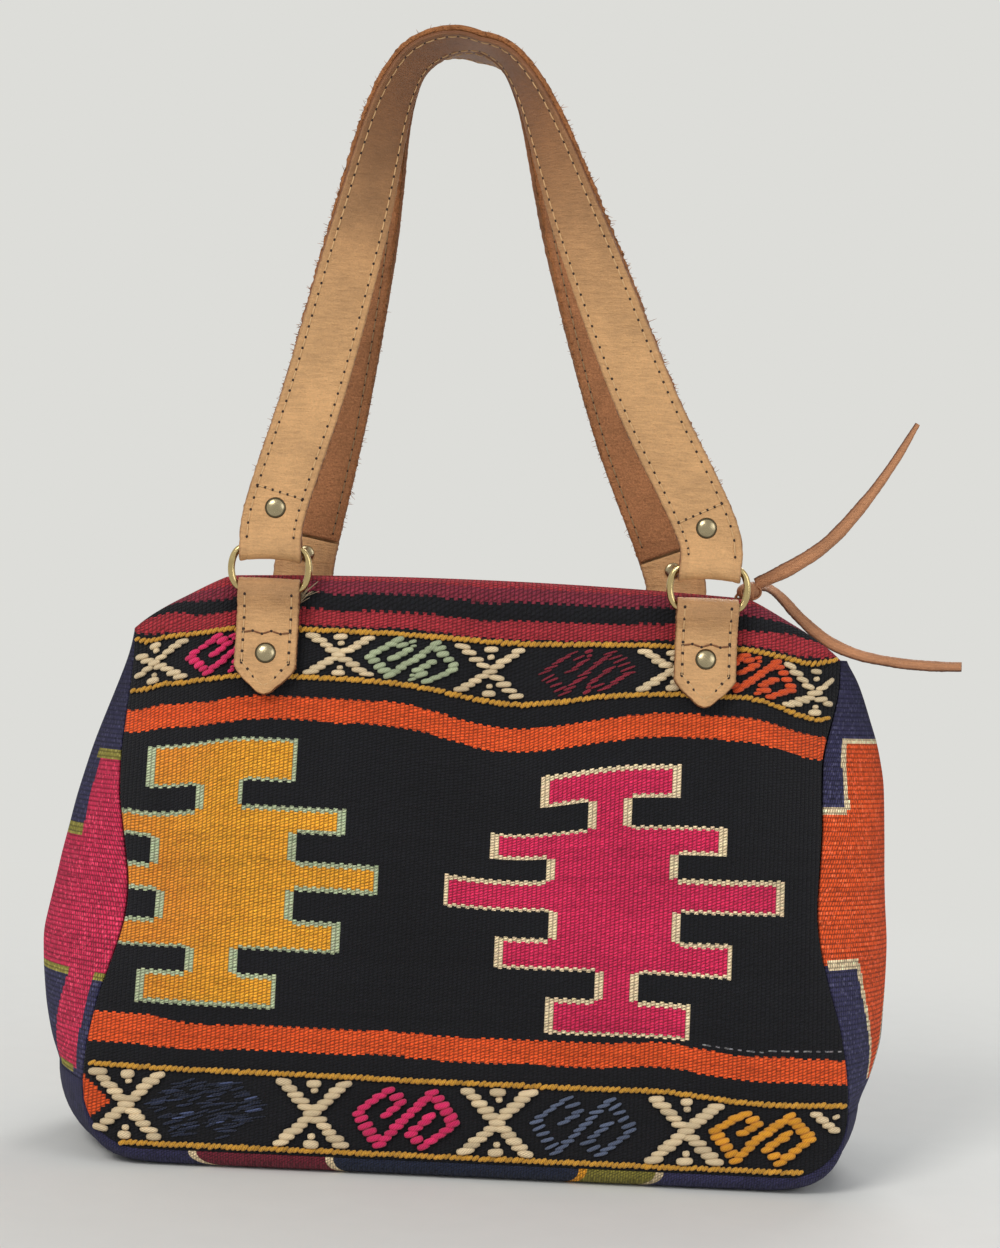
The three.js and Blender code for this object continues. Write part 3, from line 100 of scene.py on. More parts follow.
PANEL_HALF = TOP_WIDTH / 2
FACE_HEIGHT = SHOULDER_HEIGHT - SEAM_HEIGHT
CREST_HEIGHT = SHOULDER_HEIGHT + ROLL_HEIGHT
HEM_HEIGHT = CREST_HEIGHT - HEM_DIP
FACE_LENGTH = math.hypot(FACE_HEIGHT, (BASE_DEPTH - SHOULDER_DEPTH) / 2)
ROLL_LENGTH = math.hypot(ROLL_HEIGHT, (SHOULDER_DEPTH - CREST_DEPTH) / 2)
LIP_LENGTH = math.hypot(HEM_DIP, (CREST_DEPTH - MOUTH_WIDTH) / 2)
PANEL_LENGTH = FACE_LENGTH + ROLL_LENGTH + LIP_LENGTH
CORNER_START = ZIP_LENGTH / TOP_WIDTH + 0.05
CORNER_DEPTH = 2 * (CLOTH + 2 * SEAM_GAP)
BAR_RADIUS = RING_WIRE / 2
LOOP_INSIDE = BAR_RADIUS + LOOP_PLAY


def srgb(red, green, blue):
    """Linear colour of an 8-bit sRGB one"""
    value = np.array([red, green, blue]) / 255
    return np.where(value <= 0.04045, value / 12.92, ((value + 0.055) / 1.055) ** 2.4)


BLACK = srgb(20, 20, 24)
ORANGE = srgb(222, 84, 36)
RED = srgb(158, 45, 53)
DARK_RED = srgb(116, 38, 52)
GOLD = srgb(228, 156, 44)
AMBER = srgb(212, 124, 44)
SAGE = srgb(170, 180, 144)
PINK = srgb(208, 42, 84)
CREAM = srgb(228, 204, 164)
ROSE = srgb(200, 44, 80)
VIOLET = srgb(52, 50, 82)
OLIVE = srgb(150, 140, 62)
BURGUNDY = srgb(126, 30, 46)
NAVY = srgb(36, 42, 62)
SLATE = srgb(92, 102, 126)
YELLOW = srgb(208, 152, 54)
HOT_PINK = srgb(222, 44, 100)
GREY_LINE = srgb(120, 118, 120)
LEATHER = srgb(212, 164, 112)
SUEDE = srgb(178, 122, 82)
THONG = srgb(200, 140, 98)
THREAD = srgb(216, 176, 126)
DARK_THREAD = srgb(126, 82, 50)
FRAYED = srgb(206, 184, 150)
HOLE_SHADE = srgb(44, 25, 16)
# Painted shade: the colour of the dark discs that stand for the shade inside stitch holes
BRASS = srgb(198, 176, 124)
RIVET_PLATING = srgb(172, 158, 126)
TWILL = srgb(40, 34, 32)
COIL = srgb(70, 58, 48)
BACKGROUND = srgb(221, 221, 217)


def smooth(value, low, high):
    t = np.clip((value - low) / (high - low), 0, 1)
    return t * t * (3 - 2 * t)


def unit(vectors):
    return vectors / np.maximum(np.linalg.norm(vectors, axis=-1, keepdims=True), 1e-12)


def circle(sides):
    """Angles of the corners of a regular polygon"""
    return 2 * np.pi * np.arange(sides) / sides


# Mesh making


def add_object(name, data):
    obj = bpy.data.objects.new(name, data)
    bpy.context.scene.collection.objects.link(obj)
    return obj


def build(name, points, faces, material, body, slot, nodes, colours, uvs=None):
    """One piece from points in millimetres, with a dye for each face"""
    mesh = bpy.data.meshes.new(name)
    mesh.from_pydata((np.asarray(points, float) * MM).tolist(), [], [list(map(int, f)) for f in faces])
    if uvs is not None:
        corner = np.empty(len(mesh.loops), int)
        mesh.loops.foreach_get("vertex_index", corner)
        layer = mesh.uv_layers.new(name="weave")
        layer.data.foreach_set("uv", np.asarray(uvs, np.float32)[corner].ravel())
    dye = np.ones((len(mesh.loops), 4), np.float32)
    dye[:, :3] = np.repeat(np.asarray(colours, np.float32), [len(f) for f in faces], axis=0)
    layer = mesh.color_attributes.new("dye", "FLOAT_COLOR", "CORNER")
    layer.data.foreach_set("color", dye.ravel())
    mesh.polygons.foreach_set("use_smooth", np.ones(len(mesh.polygons), bool))
    mesh.update()
    obj = add_object(name, mesh)
    mesh.materials.append(material)
    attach(obj, body)
    if nodes:
        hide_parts(*nodes)
    return obj


def grid_faces(rows, columns):
    """Quads of a grid of (rows + 1) by (columns + 1) points"""
    r, c = np.meshgrid(np.arange(rows), np.arange(columns), indexing="ij")
    a = r * (columns + 1) + c
    return np.stack([a, a + 1, a + columns + 2, a + columns + 1], -1).reshape(-1, 4)


def ring_faces(rings, sides, closed=False):
    """Quads of a tube of rings with the same number of points"""
    r, s = np.meshgrid(np.arange(rings if closed else rings - 1), np.arange(sides), indexing="ij")
    here, after, beside = r * sides, (r + 1) % rings * sides, (s + 1) % sides
    return np.stack([here + s, here + beside, after + beside, after + s], -1).reshape(-1, 4)


def capped_faces(rings, sides):
    """Faces of a tube with both its ends closed"""
    ends = [list(range(sides))[::-1], list(range((rings - 1) * sides, rings * sides))]
    return ring_faces(rings, sides).tolist() + ends


def real_quads(points, faces, least):
    """Which quads aren't folded to nothing"""
    a, b, c, d = (points[faces[:, k]] for k in range(4))
    return np.linalg.norm(np.cross(c - a, d - b), axis=1) > least


class Heap:
    """Many small forms gathered into one mesh"""

    def __init__(self):
        self.points, self.faces, self.colours, self.uvs = [], [], [], []
        self.count = 0

    def add(self, points, faces, colour, uvs=None):
        points = np.asarray(points, float).reshape(-1, 3)
        self.points.append(points)
        self.uvs.append(np.zeros((len(points), 2)) if uvs is None else uvs.reshape(-1, 2))
        self.faces += [[int(k) + self.count for k in face] for face in faces]
        self.colours.append(np.broadcast_to(colour, (len(faces), 3)))
        self.count += len(points)

    def piece(self, name, material, body, slot, nodes=()):
        points, colours, uvs = (np.concatenate(v) for v in (self.points, self.colours, self.uvs))
        return build(name, points, self.faces, material, body, slot, nodes, colours, uvs)


def run_along(points):
    """Distance of each point along a line of them"""
    return np.concatenate([[0], np.cumsum(np.linalg.norm(np.diff(points, axis=0), axis=1))])


def tube(heap, centres, side, up, half_wide, half_high, colour, sides, closed=False):
    """A tube with an elliptical section along centres; side and up span each section"""
    centres, side, up = (np.asarray(v, float) for v in (centres, side, up))
    count = len(centres)
    turn = circle(sides)
    wide = np.broadcast_to(half_wide, count)[:, None, None] * np.cos(turn)[None, :, None]
    high = np.broadcast_to(half_high, count)[:, None, None] * np.sin(turn)[None, :, None]
    points = centres[:, None, :] + wide * side[:, None, :] + high * up[:, None, :]
    faces = ring_faces(count, sides, True).tolist() if closed else capped_faces(count, sides)
    uvs = np.stack(np.broadcast_arrays(run_along(centres)[:, None], turn[None, :]), -1)
    heap.add(points, faces, colour, uvs)


STITCH_AT = np.array([-0.5, -0.44, -0.25, 0.0, 0.25, 0.44, 0.5])
STITCH_GIRTH = np.array([0.3, 0.72, 0.98, 1.0, 0.98, 0.72, 0.3])
STITCH_SIDES = 6
STITCH_ARCH = 0.35


def stitches(heap, centre, axis, normal, length, width, height, colours):
    """Short lengths of yarn, each arched over the cloth"""
    count = len(centre)
    centre, axis, normal = (np.reshape(v, (-1, 1, 1, 3)) for v in (centre, unit(axis), normal))
    side = np.cross(normal, axis)
    sizes = (np.broadcast_to(v, count) for v in (length, width, height))
    length, width, height = (v.reshape(-1, 1, 1, 1) for v in sizes)
    turn = circle(STITCH_SIDES)[:, None]
    t, girth = (v[:, None, None] for v in (STITCH_AT, STITCH_GIRTH))
    lift = girth * np.sin(turn) * height / 2 + STITCH_ARCH * (1 - (2 * t) ** 2) * height
    points = centre + axis * t * length + side * girth * np.cos(turn) * width / 2 + normal * lift
    uvs = np.concatenate(np.broadcast_arrays((t + 0.5) * length, turn * width / 2), -1)
    faces = capped_faces(len(STITCH_AT), STITCH_SIDES)
    colours = np.broadcast_to(colours, (count, 3))
    for k in range(count):
        heap.add(points[k], faces, colours[k], uvs[k])


CURVE_PARTS = 40


def catmull(points, step):
    """Points of a centripetal Catmull-Rom curve, evenly spaced about step apart"""
    points = np.asarray(points, float)
    ends = np.concatenate([[2 * points[0] - points[1]], points, [2 * points[-1] - points[-2]]])
    fine = []
    t = np.linspace(0, 1, CURVE_PARTS + 1)[:-1, None]
    for p0, p1, p2, p3 in zip(ends, ends[1:], ends[2:], ends[3:]):
        d0, d1, d2 = (max(np.linalg.norm(b - a), 1e-6) ** 0.5 for a, b in ((p0, p1), (p1, p2), (p2, p3)))
        m1 = ((p1 - p0) / d0 - (p2 - p0) / (d0 + d1) + (p2 - p1) / d1) * d1
        m2 = ((p2 - p1) / d1 - (p3 - p1) / (d1 + d2) + (p3 - p2) / d2) * d1
        fine.append((2 * t**3 - 3 * t**2 + 1) * p1 + (t**3 - 2 * t**2 + t) * m1
                    + (3 * t**2 - 2 * t**3) * p2 + (t**3 - t**2) * m2)
    return resample(np.concatenate(fine + [points[-1:]]), step)


def resample(fine, step):
    """A line of points with others evenly spaced about step apart"""
    run = run_along(fine)
    at = np.linspace(0, run[-1], max(int(round(run[-1] / step)), 2) + 1)
    return np.stack([np.interp(at, run, fine[:, k]) for k in range(3)], 1)


# Materials


class Look:
    """Nodes of a material or world; a value is a number, a colour or what another node gives"""

    def __init__(self, owner, **settings):
        owner.use_nodes = True
        self.owner, self.tree = owner, owner.node_tree
        self.shader = self.tree.nodes.get("Principled BSDF")
        self.put(self.shader, {key.replace("_", " "): value for key, value in settings.items()})

    def put(self, node, values):
        for key, value in values.items():
            if isinstance(value, bpy.types.NodeSocket):
                self.tree.links.new(value, node.inputs[key])
            else:
                node.inputs[key].default_value = value

    def node(self, kind, values, output=0, **settings):
        node = self.tree.nodes.new("ShaderNode" + kind)
        for key, value in settings.items():
            setattr(node, key, value)
        self.put(node, values)
        return node.outputs[output]

    def math(self, operation, *values):
        return self.node("Math", dict(enumerate(values)), operation=operation)

    def add(self, first, second):
        return self.math("ADD", first, second)

    def take(self, first, second):
        return self.math("SUBTRACT", first, second)

    def mul(self, first, second):
        return self.math("MULTIPLY", first, second)

    def place(self, scale=(1, 1, 1)):
        where = self.node("TexCoord", {}, "Object")
        return self.node("Mapping", {"Scale": scale, "Vector": where})

    def noise(self, scale, detail, roughness=0.55, stretch=(1, 1, 1)):
        values = {"Scale": scale, "Detail": detail, "Roughness": roughness, "Vector": self.place(stretch)}
        return self.node("TexNoise", values)

    def span(self, value, low, high):
        """A 0 to 1 value mapped to low to high"""
        return self.node("MapRange", {"To Min": low, "To Max": high, "Value": value})

    def shade(self, colour, factor):
        return self.node("VectorMath", {0: colour, "Scale": factor}, operation="SCALE")

    def dye(self):
        return self.node("VertexColor", {}, layer_name="dye")

    def weave(self):
        """Both weave coordinates"""
        at = self.node("UVMap", {}, uv_map="weave")
        return [self.node("SeparateXYZ", {0: at}, k) for k in (0, 1)]

    def hump(self, value):
        """Round rise between whole numbers, 0 at each of them"""
        centred = self.take(self.mul(self.math("FRACT", value), 2.0), 1.0)
        return self.take(1.0, self.mul(centred, centred))

    def finish(self, colour, light, height, depth, strength=1.0):
        """The material with its colour times its light, and its relief"""
        normal = self.node("Bump", {"Strength": strength, "Distance": depth, "Height": height})
        self.put(self.shader, {"Base Color": self.shade(colour, light), "Normal": normal})
        return self.owner


def material_look(name, **settings):
    return Look(bpy.data.materials.new(name), **settings)


def woven_material(name, low, high, depth, lean):
    """Wool weave of slanted beads: the weave coordinates count ribs and the stitches along them"""
    look = material_look(name, Roughness=0.92, Specular_IOR_Level=0.15, Sheen_Weight=0.06, Sheen_Roughness=0.6)
    rib_at, stitch_at = look.weave()
    wobble = look.span(look.noise(520, 2), -0.5, 0.5)
    odd = look.math("MODULO", look.math("FLOOR", rib_at), 2.0)
    row = look.add(stitch_at, look.mul(odd, 0.5))
    row = look.take(row, look.mul(look.math("FRACT", rib_at), lean))
    rib = look.math("POWER", look.hump(rib_at), 0.6)
    stitch = look.math("POWER", look.hump(look.add(row, wobble)), 0.7)
    bead = look.mul(rib, stitch)
    fuzz = look.noise(2600, 3, 0.7)
    wear = look.noise(55, 4, 0.6)
    # The bead relief also scales the colour: painted shade in the gaps and painted highlight on the beads; wear
    # and fuzz vary the tone at random
    light = look.mul(look.span(bead, low, high), look.span(wear, 0.82, 1.18))
    light = look.mul(light, look.span(fuzz, 0.8, 1.2))
    return look.finish(look.dye(), light, look.add(bead, look.mul(fuzz, 0.4)), depth)


def yarn_material():
    """Plied yarn: slanted grooves along each stitch"""
    look = material_look("brocade_yarn", Roughness=0.85, Specular_IOR_Level=0.2, Sheen_Weight=0.15)
    along, around = look.weave()
    twist = look.hump(look.add(look.mul(along, 0.7), look.mul(around, 0.9)))
    fuzz = look.noise(2200, 3, 0.7)
    height = look.add(look.mul(twist, 0.7), look.mul(fuzz, 0.5))
    # The twist height also scales the colour: painted shade in the grooves between the plies
    return look.finish(look.dye(), look.span(height, 0.52, 1.2), height, 0.0004)


def leather_material(name, colour, edge_and_shade_colour, fibrous):
    """Vegetable-tanned leather; the dye's red channel marks cut edges, and painted shade on the tabs' folded
    tops and the straps' upper stretches
    """
    coarse, gloss, grain_rise = (0.8, 0.2, 1.4) if fibrous else (0.25, 0.36, 0.6)
    rough = (0.62, 0.86) if fibrous else (0.42, 0.62)
    look = material_look(name, Specular_IOR_Level=gloss)
    stain = look.noise(38, 5, 0.6)
    grain = look.noise(1100, 4, 0.7)
    creases = look.noise(150, 6, 0.72, (0.9, 1, 5.5))
    edge = look.node("SeparateColor", {0: look.dye()})
    # The mark blends towards one dark colour: the real cut edges, and painted shade
    tone = look.node("Mix", {0: edge, 6: (*colour, 1), 7: (*edge_and_shade_colour, 1)}, 2, data_type="RGBA")
    mottle = look.mul(look.span(stain, 0.6, 1.4), look.span(grain, 1 - coarse, 1 + coarse))
    # The crease noise also scales the colour: painted shade in the wrinkles and painted highlight on their
    # ridges
    light = look.mul(mottle, look.span(creases, 0.62, 1.38))
    look.put(look.shader, {"Roughness": look.span(stain, *rough)})
    return look.finish(tone, light, look.add(look.mul(grain, grain_rise), creases), 0.0009, 0.9)


def thread_material():
    look = material_look("stitch_thread", Roughness=0.75)
    fuzz = look.noise(1800, 3, 0.7)
    return look.finish(look.dye(), look.span(fuzz, 0.7, 1.2), fuzz, 0.0002)


def metal_material(name, low, high, colour=None):
    """Antique plating with tarnish, of one colour or of the dye of each face"""
    look = material_look(name, Metallic=1.0)
    tarnish = look.noise(240, 5, 0.65)
    scratch = look.noise(1500, 3, 0.6)
    look.put(look.shader, {"Roughness": look.span(tarnish, low, high)})
    plating = look.dye() if colour is None else colour
    return look.finish(plating, look.span(tarnish, 0.7, 1.15), look.add(tarnish, scratch), 0.00012, 0.5)


def tape_material():
    look = material_look("zip_tape_twill", Roughness=0.8)
    twill = look.node("TexWave", {"Scale": 900, "Distortion": 1.5, "Vector": look.place((1, 1, 0.6))}, 1)
    # The twill wave also scales the colour: painted shade in its grooves and painted highlight on its ribs
    return look.finish(look.dye(), look.span(twill, 0.7, 1.25), twill, 0.0002)


CLOTH_WEAVE = woven_material("kilim_weave", 0.42, 1.46, 0.0006, 0.5)
GUSSET_WEAVE = woven_material("gusset_weave", 0.4, 1.5, 0.0008, 0.3)
BASE_WEAVE = woven_material("base_weave", 0.55, 1.35, 0.0005, 0.4)
YARN = yarn_material()
STRAP_LEATHER = leather_material("strap_leather_grain", LEATHER, srgb(118, 70, 42), False)
SUEDE_LEATHER = leather_material("strap_leather_flesh", SUEDE, srgb(172, 112, 68), True)
THONG_LEATHER = leather_material("thong_leather_grain", THONG, srgb(96, 56, 36), False)
THREAD_YARN = thread_material()
RING_BRASS = metal_material("ring_antique_brass", 0.14, 0.3)
RIVET_BRASS = metal_material("rivet_antique_brass", 0.18, 0.34)
ZIP_METAL = metal_material("zip_antique_metal", 0.3, 0.5, srgb(140, 124, 88))
TAPE = tape_material()


# Camera at the photograph's viewing angle

CAMERA_PLACE = (5.58, -1100, 281.5)
CAMERA_PITCH = -0.0405
CAMERA_ROLL = 0.046
FOCAL_PIXELS = 2465
FRAME_HEIGHT = 1248

camera_data = bpy.data.cameras.new("camera")
camera_data.sensor_width = 36
camera_data.lens = FOCAL_PIXELS * camera_data.sensor_width / FRAME_HEIGHT
camera_data.clip_start = 0.01
camera = add_object("camera", camera_data)
forward = Vector((0, math.cos(CAMERA_PITCH), math.sin(CAMERA_PITCH)))
level_right = Vector((1, 0, 0))
level_up = level_right.cross(forward)
right = level_right * math.cos(CAMERA_ROLL) + level_up * math.sin(CAMERA_ROLL)
up = level_up * math.cos(CAMERA_ROLL) - level_right * math.sin(CAMERA_ROLL)
turn = Matrix((right, up, -forward)).transposed()
camera.matrix_world = Matrix.Translation(Vector(CAMERA_PLACE) * MM) @ turn.to_4x4()
bpy.context.scene.camera = camera


# Thong: two free tails of one leather lace

UPPER_ROUTE = [
    (118.9, 0, 260), (133, -1, 267.5), (149.5, -1, 279.5),
    (165.5, 0, 298.5), (177.5, 1, 316.5), (187.5, 2, 334.5),
]
LOWER_ROUTE = [
    (117.3, 3.3, 258.8), (125, 12, 258.5), (132, 19, 254.5), (141, 23.5, 246), (150, 24.5, 238.5),
    (158, 23, 233.5), (169, 20, 229.5), (186, 15, 227), (201, 11, 226.4), (214, 8, 226.8),
]
UPPER_TAPER = [1.0, 1.22, 1.24, 1.18, 1.06, 0.92, 0.8, 0.66, 0.36]
LOWER_TAPER = [0.9, 1.0, 1.1, 1.12, 1.1, 1.0, 0.95, 0.9]
# Across, out and cut-edge mark of each corner of the lace's section
LACE_SECTION = np.array([
    (-0.96, 0.35, 0.7), (-0.84, 0.86, 0.25), (-0.4, 1.0, 0), (0, 0.94, 0), (0.4, 1.0, 0.25),
    (0.84, 0.86, 0.7), (0.96, 0.35, 1), (1.0, -0.1, 0.9), (0.9, -0.8, 0.5), (0.3, -1.0, 0.5),
    (-0.3, -1.0, 0.5), (-0.9, -0.8, 0.9), (-1.0, -0.1, 1),
])


def lace(name, route, facing, node, taper):
    """A flat lace along a route with its grain side facing one way; taper is its width at even steps"""
    path = catmull(route, 1.0)
    tangent = unit(np.gradient(path, axis=0))
    face = np.broadcast_to(np.asarray(facing, float), path.shape)
    face = unit(face - (face * tangent).sum(1, keepdims=True) * tangent)
    side = np.cross(tangent, face)
    run = np.arange(len(path))
    half_wide = THONG_WIDTH / 2 * np.interp(run / run[-1], np.linspace(0, 1, len(taper)), taper)
    half_wide = half_wide * (1 + 0.04 * np.sin(run / 7.0) + 0.02 * np.sin(run / 2.3 + 1))
    across, out, cut = LACE_SECTION.T
    points = (path[:, None, :] + side[:, None, :] * (across[None, :] * half_wide[:, None])[..., None]
              + face[:, None, :] * (out[None, :] * THONG_THICKNESS / 2)[..., None])
    points += rng.normal(0, 0.05, points.shape)
    faces = capped_faces(len(path), len(cut))
    marks = np.zeros((len(faces), 3))
    marks[:-2, 0] = np.tile(cut, len(path) - 1)
    marks[-2:, 0] = 1
    obj = build(name, points.reshape(-1, 3), faces, THONG_LEATHER, "slider", "thong_leather", [node], marks)
    return obj


lace("thong_upper_lace", UPPER_ROUTE, (0.2, -0.94, -0.24), "thong_upper_tail", UPPER_TAPER)
lower_tail = lace("thong_lower_lace", LOWER_ROUTE, (0, -0.82, 0.6), "thong_lower_tail", LOWER_TAPER)
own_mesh(lower_tail)

KNOT_CORE = (4.6, 3.3, 3.0)
# Turn about Z, turn about X, reach along and up, and half width of each wrap
KNOT_WRAPS = ((0.35, 0.0, 4.9, 3.3, 2.4), (1.45, 0.5, 3.4, 3.6, 2.3))
WRAP_MARK = (0.1, 0, 0)


def thong_knot():
    """Half-hitch: a core with two wraps of lace over it"""
    heap = Heap()
    centre = np.array(KNOT_CENTRE, float) + (3, -0.6, 0)
    rise, spin = np.meshgrid(np.linspace(-np.pi / 2, np.pi / 2, 14), circle(48)[::2], indexing="ij")
    core = np.stack([np.cos(rise) * np.cos(spin), np.cos(rise) * np.sin(spin), np.sin(rise)], -1)
    heap.add(centre + core * KNOT_CORE, ring_faces(14, 24).tolist(), (0.3, 0, 0))
    turn = circle(48)
    spin = np.stack([np.cos(turn), np.zeros(48), np.sin(turn)], 1)
    across = np.broadcast_to((0.0, 1.0, 0.0), spin.shape)
    for tilt, roll, along, high, wide in KNOT_WRAPS:
        reach = (along, 1, high)
        place = (np.array(Matrix.Rotation(roll, 3, "X")) @ np.array(Matrix.Rotation(tilt, 3, "Z"))).T
        out = unit(spin / reach)
        tube(heap, centre + spin * reach @ place, across @ place, out @ place, wide, 0.75, WRAP_MARK, 12, True)
    tail = catmull([centre + (1.5, 0, 1.0), centre + (2.4, 0.3, 2.6), UPPER_ROUTE[0]], 0.5)
    tangent = unit(np.gradient(tail, axis=0))
    face = unit(np.cross(tangent, (0, 1, 0)))
    tube(heap, tail, np.cross(face, tangent), face, 2.6, 0.9, WRAP_MARK, 12)
    loop = catmull([(111.5, 0, 251.3), (110.2, 0.3, 253.5), (112, 0.5, 256.5)], 0.5)
    side, face = (np.tile(v, (len(loop), 1)) for v in ((0, 1.0, 0), (1.0, 0, 0)))
    tube(heap, loop, side, face, 1.6, 0.7, WRAP_MARK, 10)
    heap.piece("thong_half_hitch", THONG_LEATHER, "slider", "thong_leather", ["thong_knot"])


thong_knot()


# Outer form of the bag

CORNER_BEGIN = 0.735
CORNER_SPAN = 0.265
HEM_CLOSES = (0.765, 0.85)


def eased(level, left):
    """How far the edges of the cloth stand out past the plain form near the top, on each side"""
    on_left = 7 * smooth(level, 0.42, 0.78) - 2 * smooth(level, 0.78, 1.0)
    on_right = 7.2 * smooth(level, 0.82, 1.02) - smooth(level, 0.6, 0.8)
    return np.where(left, on_left, on_right)


def half_width(level, left=False, loose=1.0):
    """Half the width at a level, 0 at the bottom seam to 1 at the shoulder; loose is the share of ease"""
    flare = LOWER_FLARE * (1 - smooth(level, 0.15, 0.55))
    waist = WAIST_PULL * np.sin(np.pi * np.clip((level - 0.3) / 0.4, 0, 1))
    return PANEL_HALF + flare - waist + loose * eased(level, left)


FOOT_HALF = half_width(0.0)


def seam_height(across):
    past = np.clip((np.abs(across) * FOOT_HALF - FOOT_HALF) / BOTTOM_ROUND + 1, 0, 1)
    return SEAM_HEIGHT + BOTTOM_ROUND * (1 - np.sqrt(1 - past * past))


def corner_share(across):
    """How far a place is drawn down to the top corners"""
    past = np.clip((np.abs(across) - CORNER_BEGIN) / CORNER_SPAN, 0, 1)
    return 0.9 * past**1.15 + 0.1 * past**6


def face_depth(across, level):
    top = (SHOULDER_DEPTH + (CORNER_DEPTH - SHOULDER_DEPTH) * corner_share(across)) / 2
    swell = FACE_BULGE * (1 - across**2) * np.sin(np.pi * level)
    return BASE_DEPTH / 2 + (top - BASE_DEPTH / 2) * level + swell


def smooth_form(x, along, loose=1.0):
    """The front's outer face without folds; along is the length up from the bottom seam"""
    share = np.clip(along / FACE_LENGTH, 0, 1)
    half = half_width(share, x < 0, loose) - SEAM_GAP / 2
    across = np.clip(x / half, -1, 1)
    corner = corner_share(across)
    shoulder = SHOULDER_HEIGHT - CORNER_DROOP * corner
    height = np.maximum(SEAM_HEIGHT + (shoulder - SEAM_HEIGHT) * share, seam_height(across))
    depth = face_depth(across, (height - SEAM_HEIGHT) / (shoulder - SEAM_HEIGHT))
    crown = np.maximum(CROWN_RISE * (1 - (across / CORNER_START) ** 2) * (1 - corner), 0)
    crest = CREST_HEIGHT - CORNER_DROOP * corner + crown
    crest_depth = (CREST_DEPTH + (CORNER_DEPTH - SEAM_GAP - CREST_DEPTH) * corner) / 2
    turn = np.clip((along - FACE_LENGTH) / ROLL_LENGTH, 0, 1) * np.pi / 2
    depth = np.where(along > FACE_LENGTH, crest_depth + (depth - crest_depth) * np.cos(turn), depth)
    height = np.where(along > FACE_LENGTH, shoulder + (crest - shoulder) * np.sin(turn), height)
    lip = np.clip((along - FACE_LENGTH - ROLL_LENGTH) / LIP_LENGTH, 0, 1)
    hem_depth = (MOUTH_WIDTH + (SEAM_GAP - MOUTH_WIDTH) * smooth(np.abs(across), *HEM_CLOSES)) / 2
    hem = HEM_HEIGHT + (crest - SEAM_GAP - HEM_HEIGHT) * corner - CORNER_DROOP * corner * (1 - corner)
    depth = depth + (hem_depth - crest_depth) * lip
    height = height + (hem - crest) * lip
    return np.stack(np.broadcast_arrays(across * half, -depth, height), -1)


def bell(value, middle, spread):
    return np.exp(-(((value - middle) / spread) ** 2))


def pull(x, along):
    """How far the cloth's rows are shifted up by the pull of the tabs, their own weight and the corners"""
    middle = smooth(along, 80, 175) * (1 - smooth(along, 192, 242)) * (0.8 - 8.5 * bell(x, 14, 37))
    left = -7.0 * smooth(-x, 98, 150) * smooth(along, 60, 150)
    left = left - 4.0 * smooth(-x, 138, 157) * smooth(along, 150, 200)
    right = -(9.0 * smooth(along, 125, 185) + 3.0 * smooth(along, 190, 206)) * smooth(x, 112, 155)
    right = right * (1 - 0.42 * smooth(along, 208, 232))
    lower = -4.0 * smooth(x, 78, 132) * smooth(along, 12, 32) * (1 - smooth(along, 60, 100))
    drop = CORNER_DROOP * corner_share(x / half_width(np.clip(along / FACE_LENGTH, 0, 1), x < 0))
    level_row = along * drop / (FACE_HEIGHT - drop)
    return middle + left + right + lower + level_row


def dent(x, along):
    """Soft unevenness of the cloth along its normal, none under the tabs, at seams or at the hem"""
    wide = 1.1 * np.sin(x / 29 + 1.1) * np.sin(along / 41 + 0.4)
    small = 0.5 * np.sin(x / 11.3 + along / 37 + 2.0) * np.sin(along / 19 - x / 60)
    sag = -2.2 * bell(x, 12, 46) * bell(along, 196, 26)
    sides = -1.6 * bell(along, 128, 34) * smooth(np.abs(x), 95, 150)
    tab = smooth(along, 146, 166) * (1 - smooth(np.abs(np.abs(x) - 90), 21, 32))
    edge = 1 - smooth(np.abs(x), 132, 148)
    seam = smooth(along, 2, 22) * (1 - smooth(along, 208, 224))
    return (wide + small + sag) * edge * (1 - tab) * seam + sides * edge


def cloth_surface(x, along):
    """Points and outward normals of the front's cloth"""
    def at(u, v):
        return smooth_form(u, v + pull(u, v))
    step = 0.5
    inside = np.clip(x, -PANEL_HALF + 2, PANEL_HALF - 2)
    held = np.clip(along, step, PANEL_LENGTH - step)
    across = at(inside + step, held) - at(inside - step, held)
    normal = unit(np.cross(across, at(inside, held + step) - at(inside, held - step)))
    return at(x, along) + normal * dent(x, along)[..., None], normal


# Pattern of the cloth, by distance up from the bottom seam

WARP = 1.9
WEFT = 0.66
LOWER_ORANGE = (43.8, 54.2)
UPPER_ORANGE = (185.6, 195.8)
RED_STRIPE = (228.2, 235.2)
RIDGE_BLACK = 239.8
RIDGE_DARK_RED = 244.5
LEFT_WEDGE_TIP = -152
LEFT_WEDGE_MIDDLE = 19
OUTLINE_WIDE = 3.5
OUTLINE_HIGH = 1.6
# Low, high, middle and half width of each step
PINK_STEPS = [
    (57.0, 72.3, 64, 32), (72.3, 84.0, 62.5, 9.8), (84.0, 98.0, 61, 52), (98.0, 110.5, 60.7, 28.6),
    (110.5, 125.0, 60.5, 74.5), (125.0, 135.5, 59.5, 28.6), (135.5, 148.0, 57, 51), (148.0, 160.0, 57, 10),
    (160.0, 174.0, 56.5, 30.5),
]
GOLD_STEPS = [
    (62.0, 76.2, -114, 31), (76.2, 86.8, -112, 11), (86.8, 100.0, -113, 55), (100.0, 113.0, -108.3, 30.3),
    (113.0, 125.0, -113, 72), (125.0, 137.2, -110.4, 32.4), (137.2, 148.3, -113, 56), (148.3, 159.0, -113, 11),
    (159.0, 177.5, -113, 34),
]


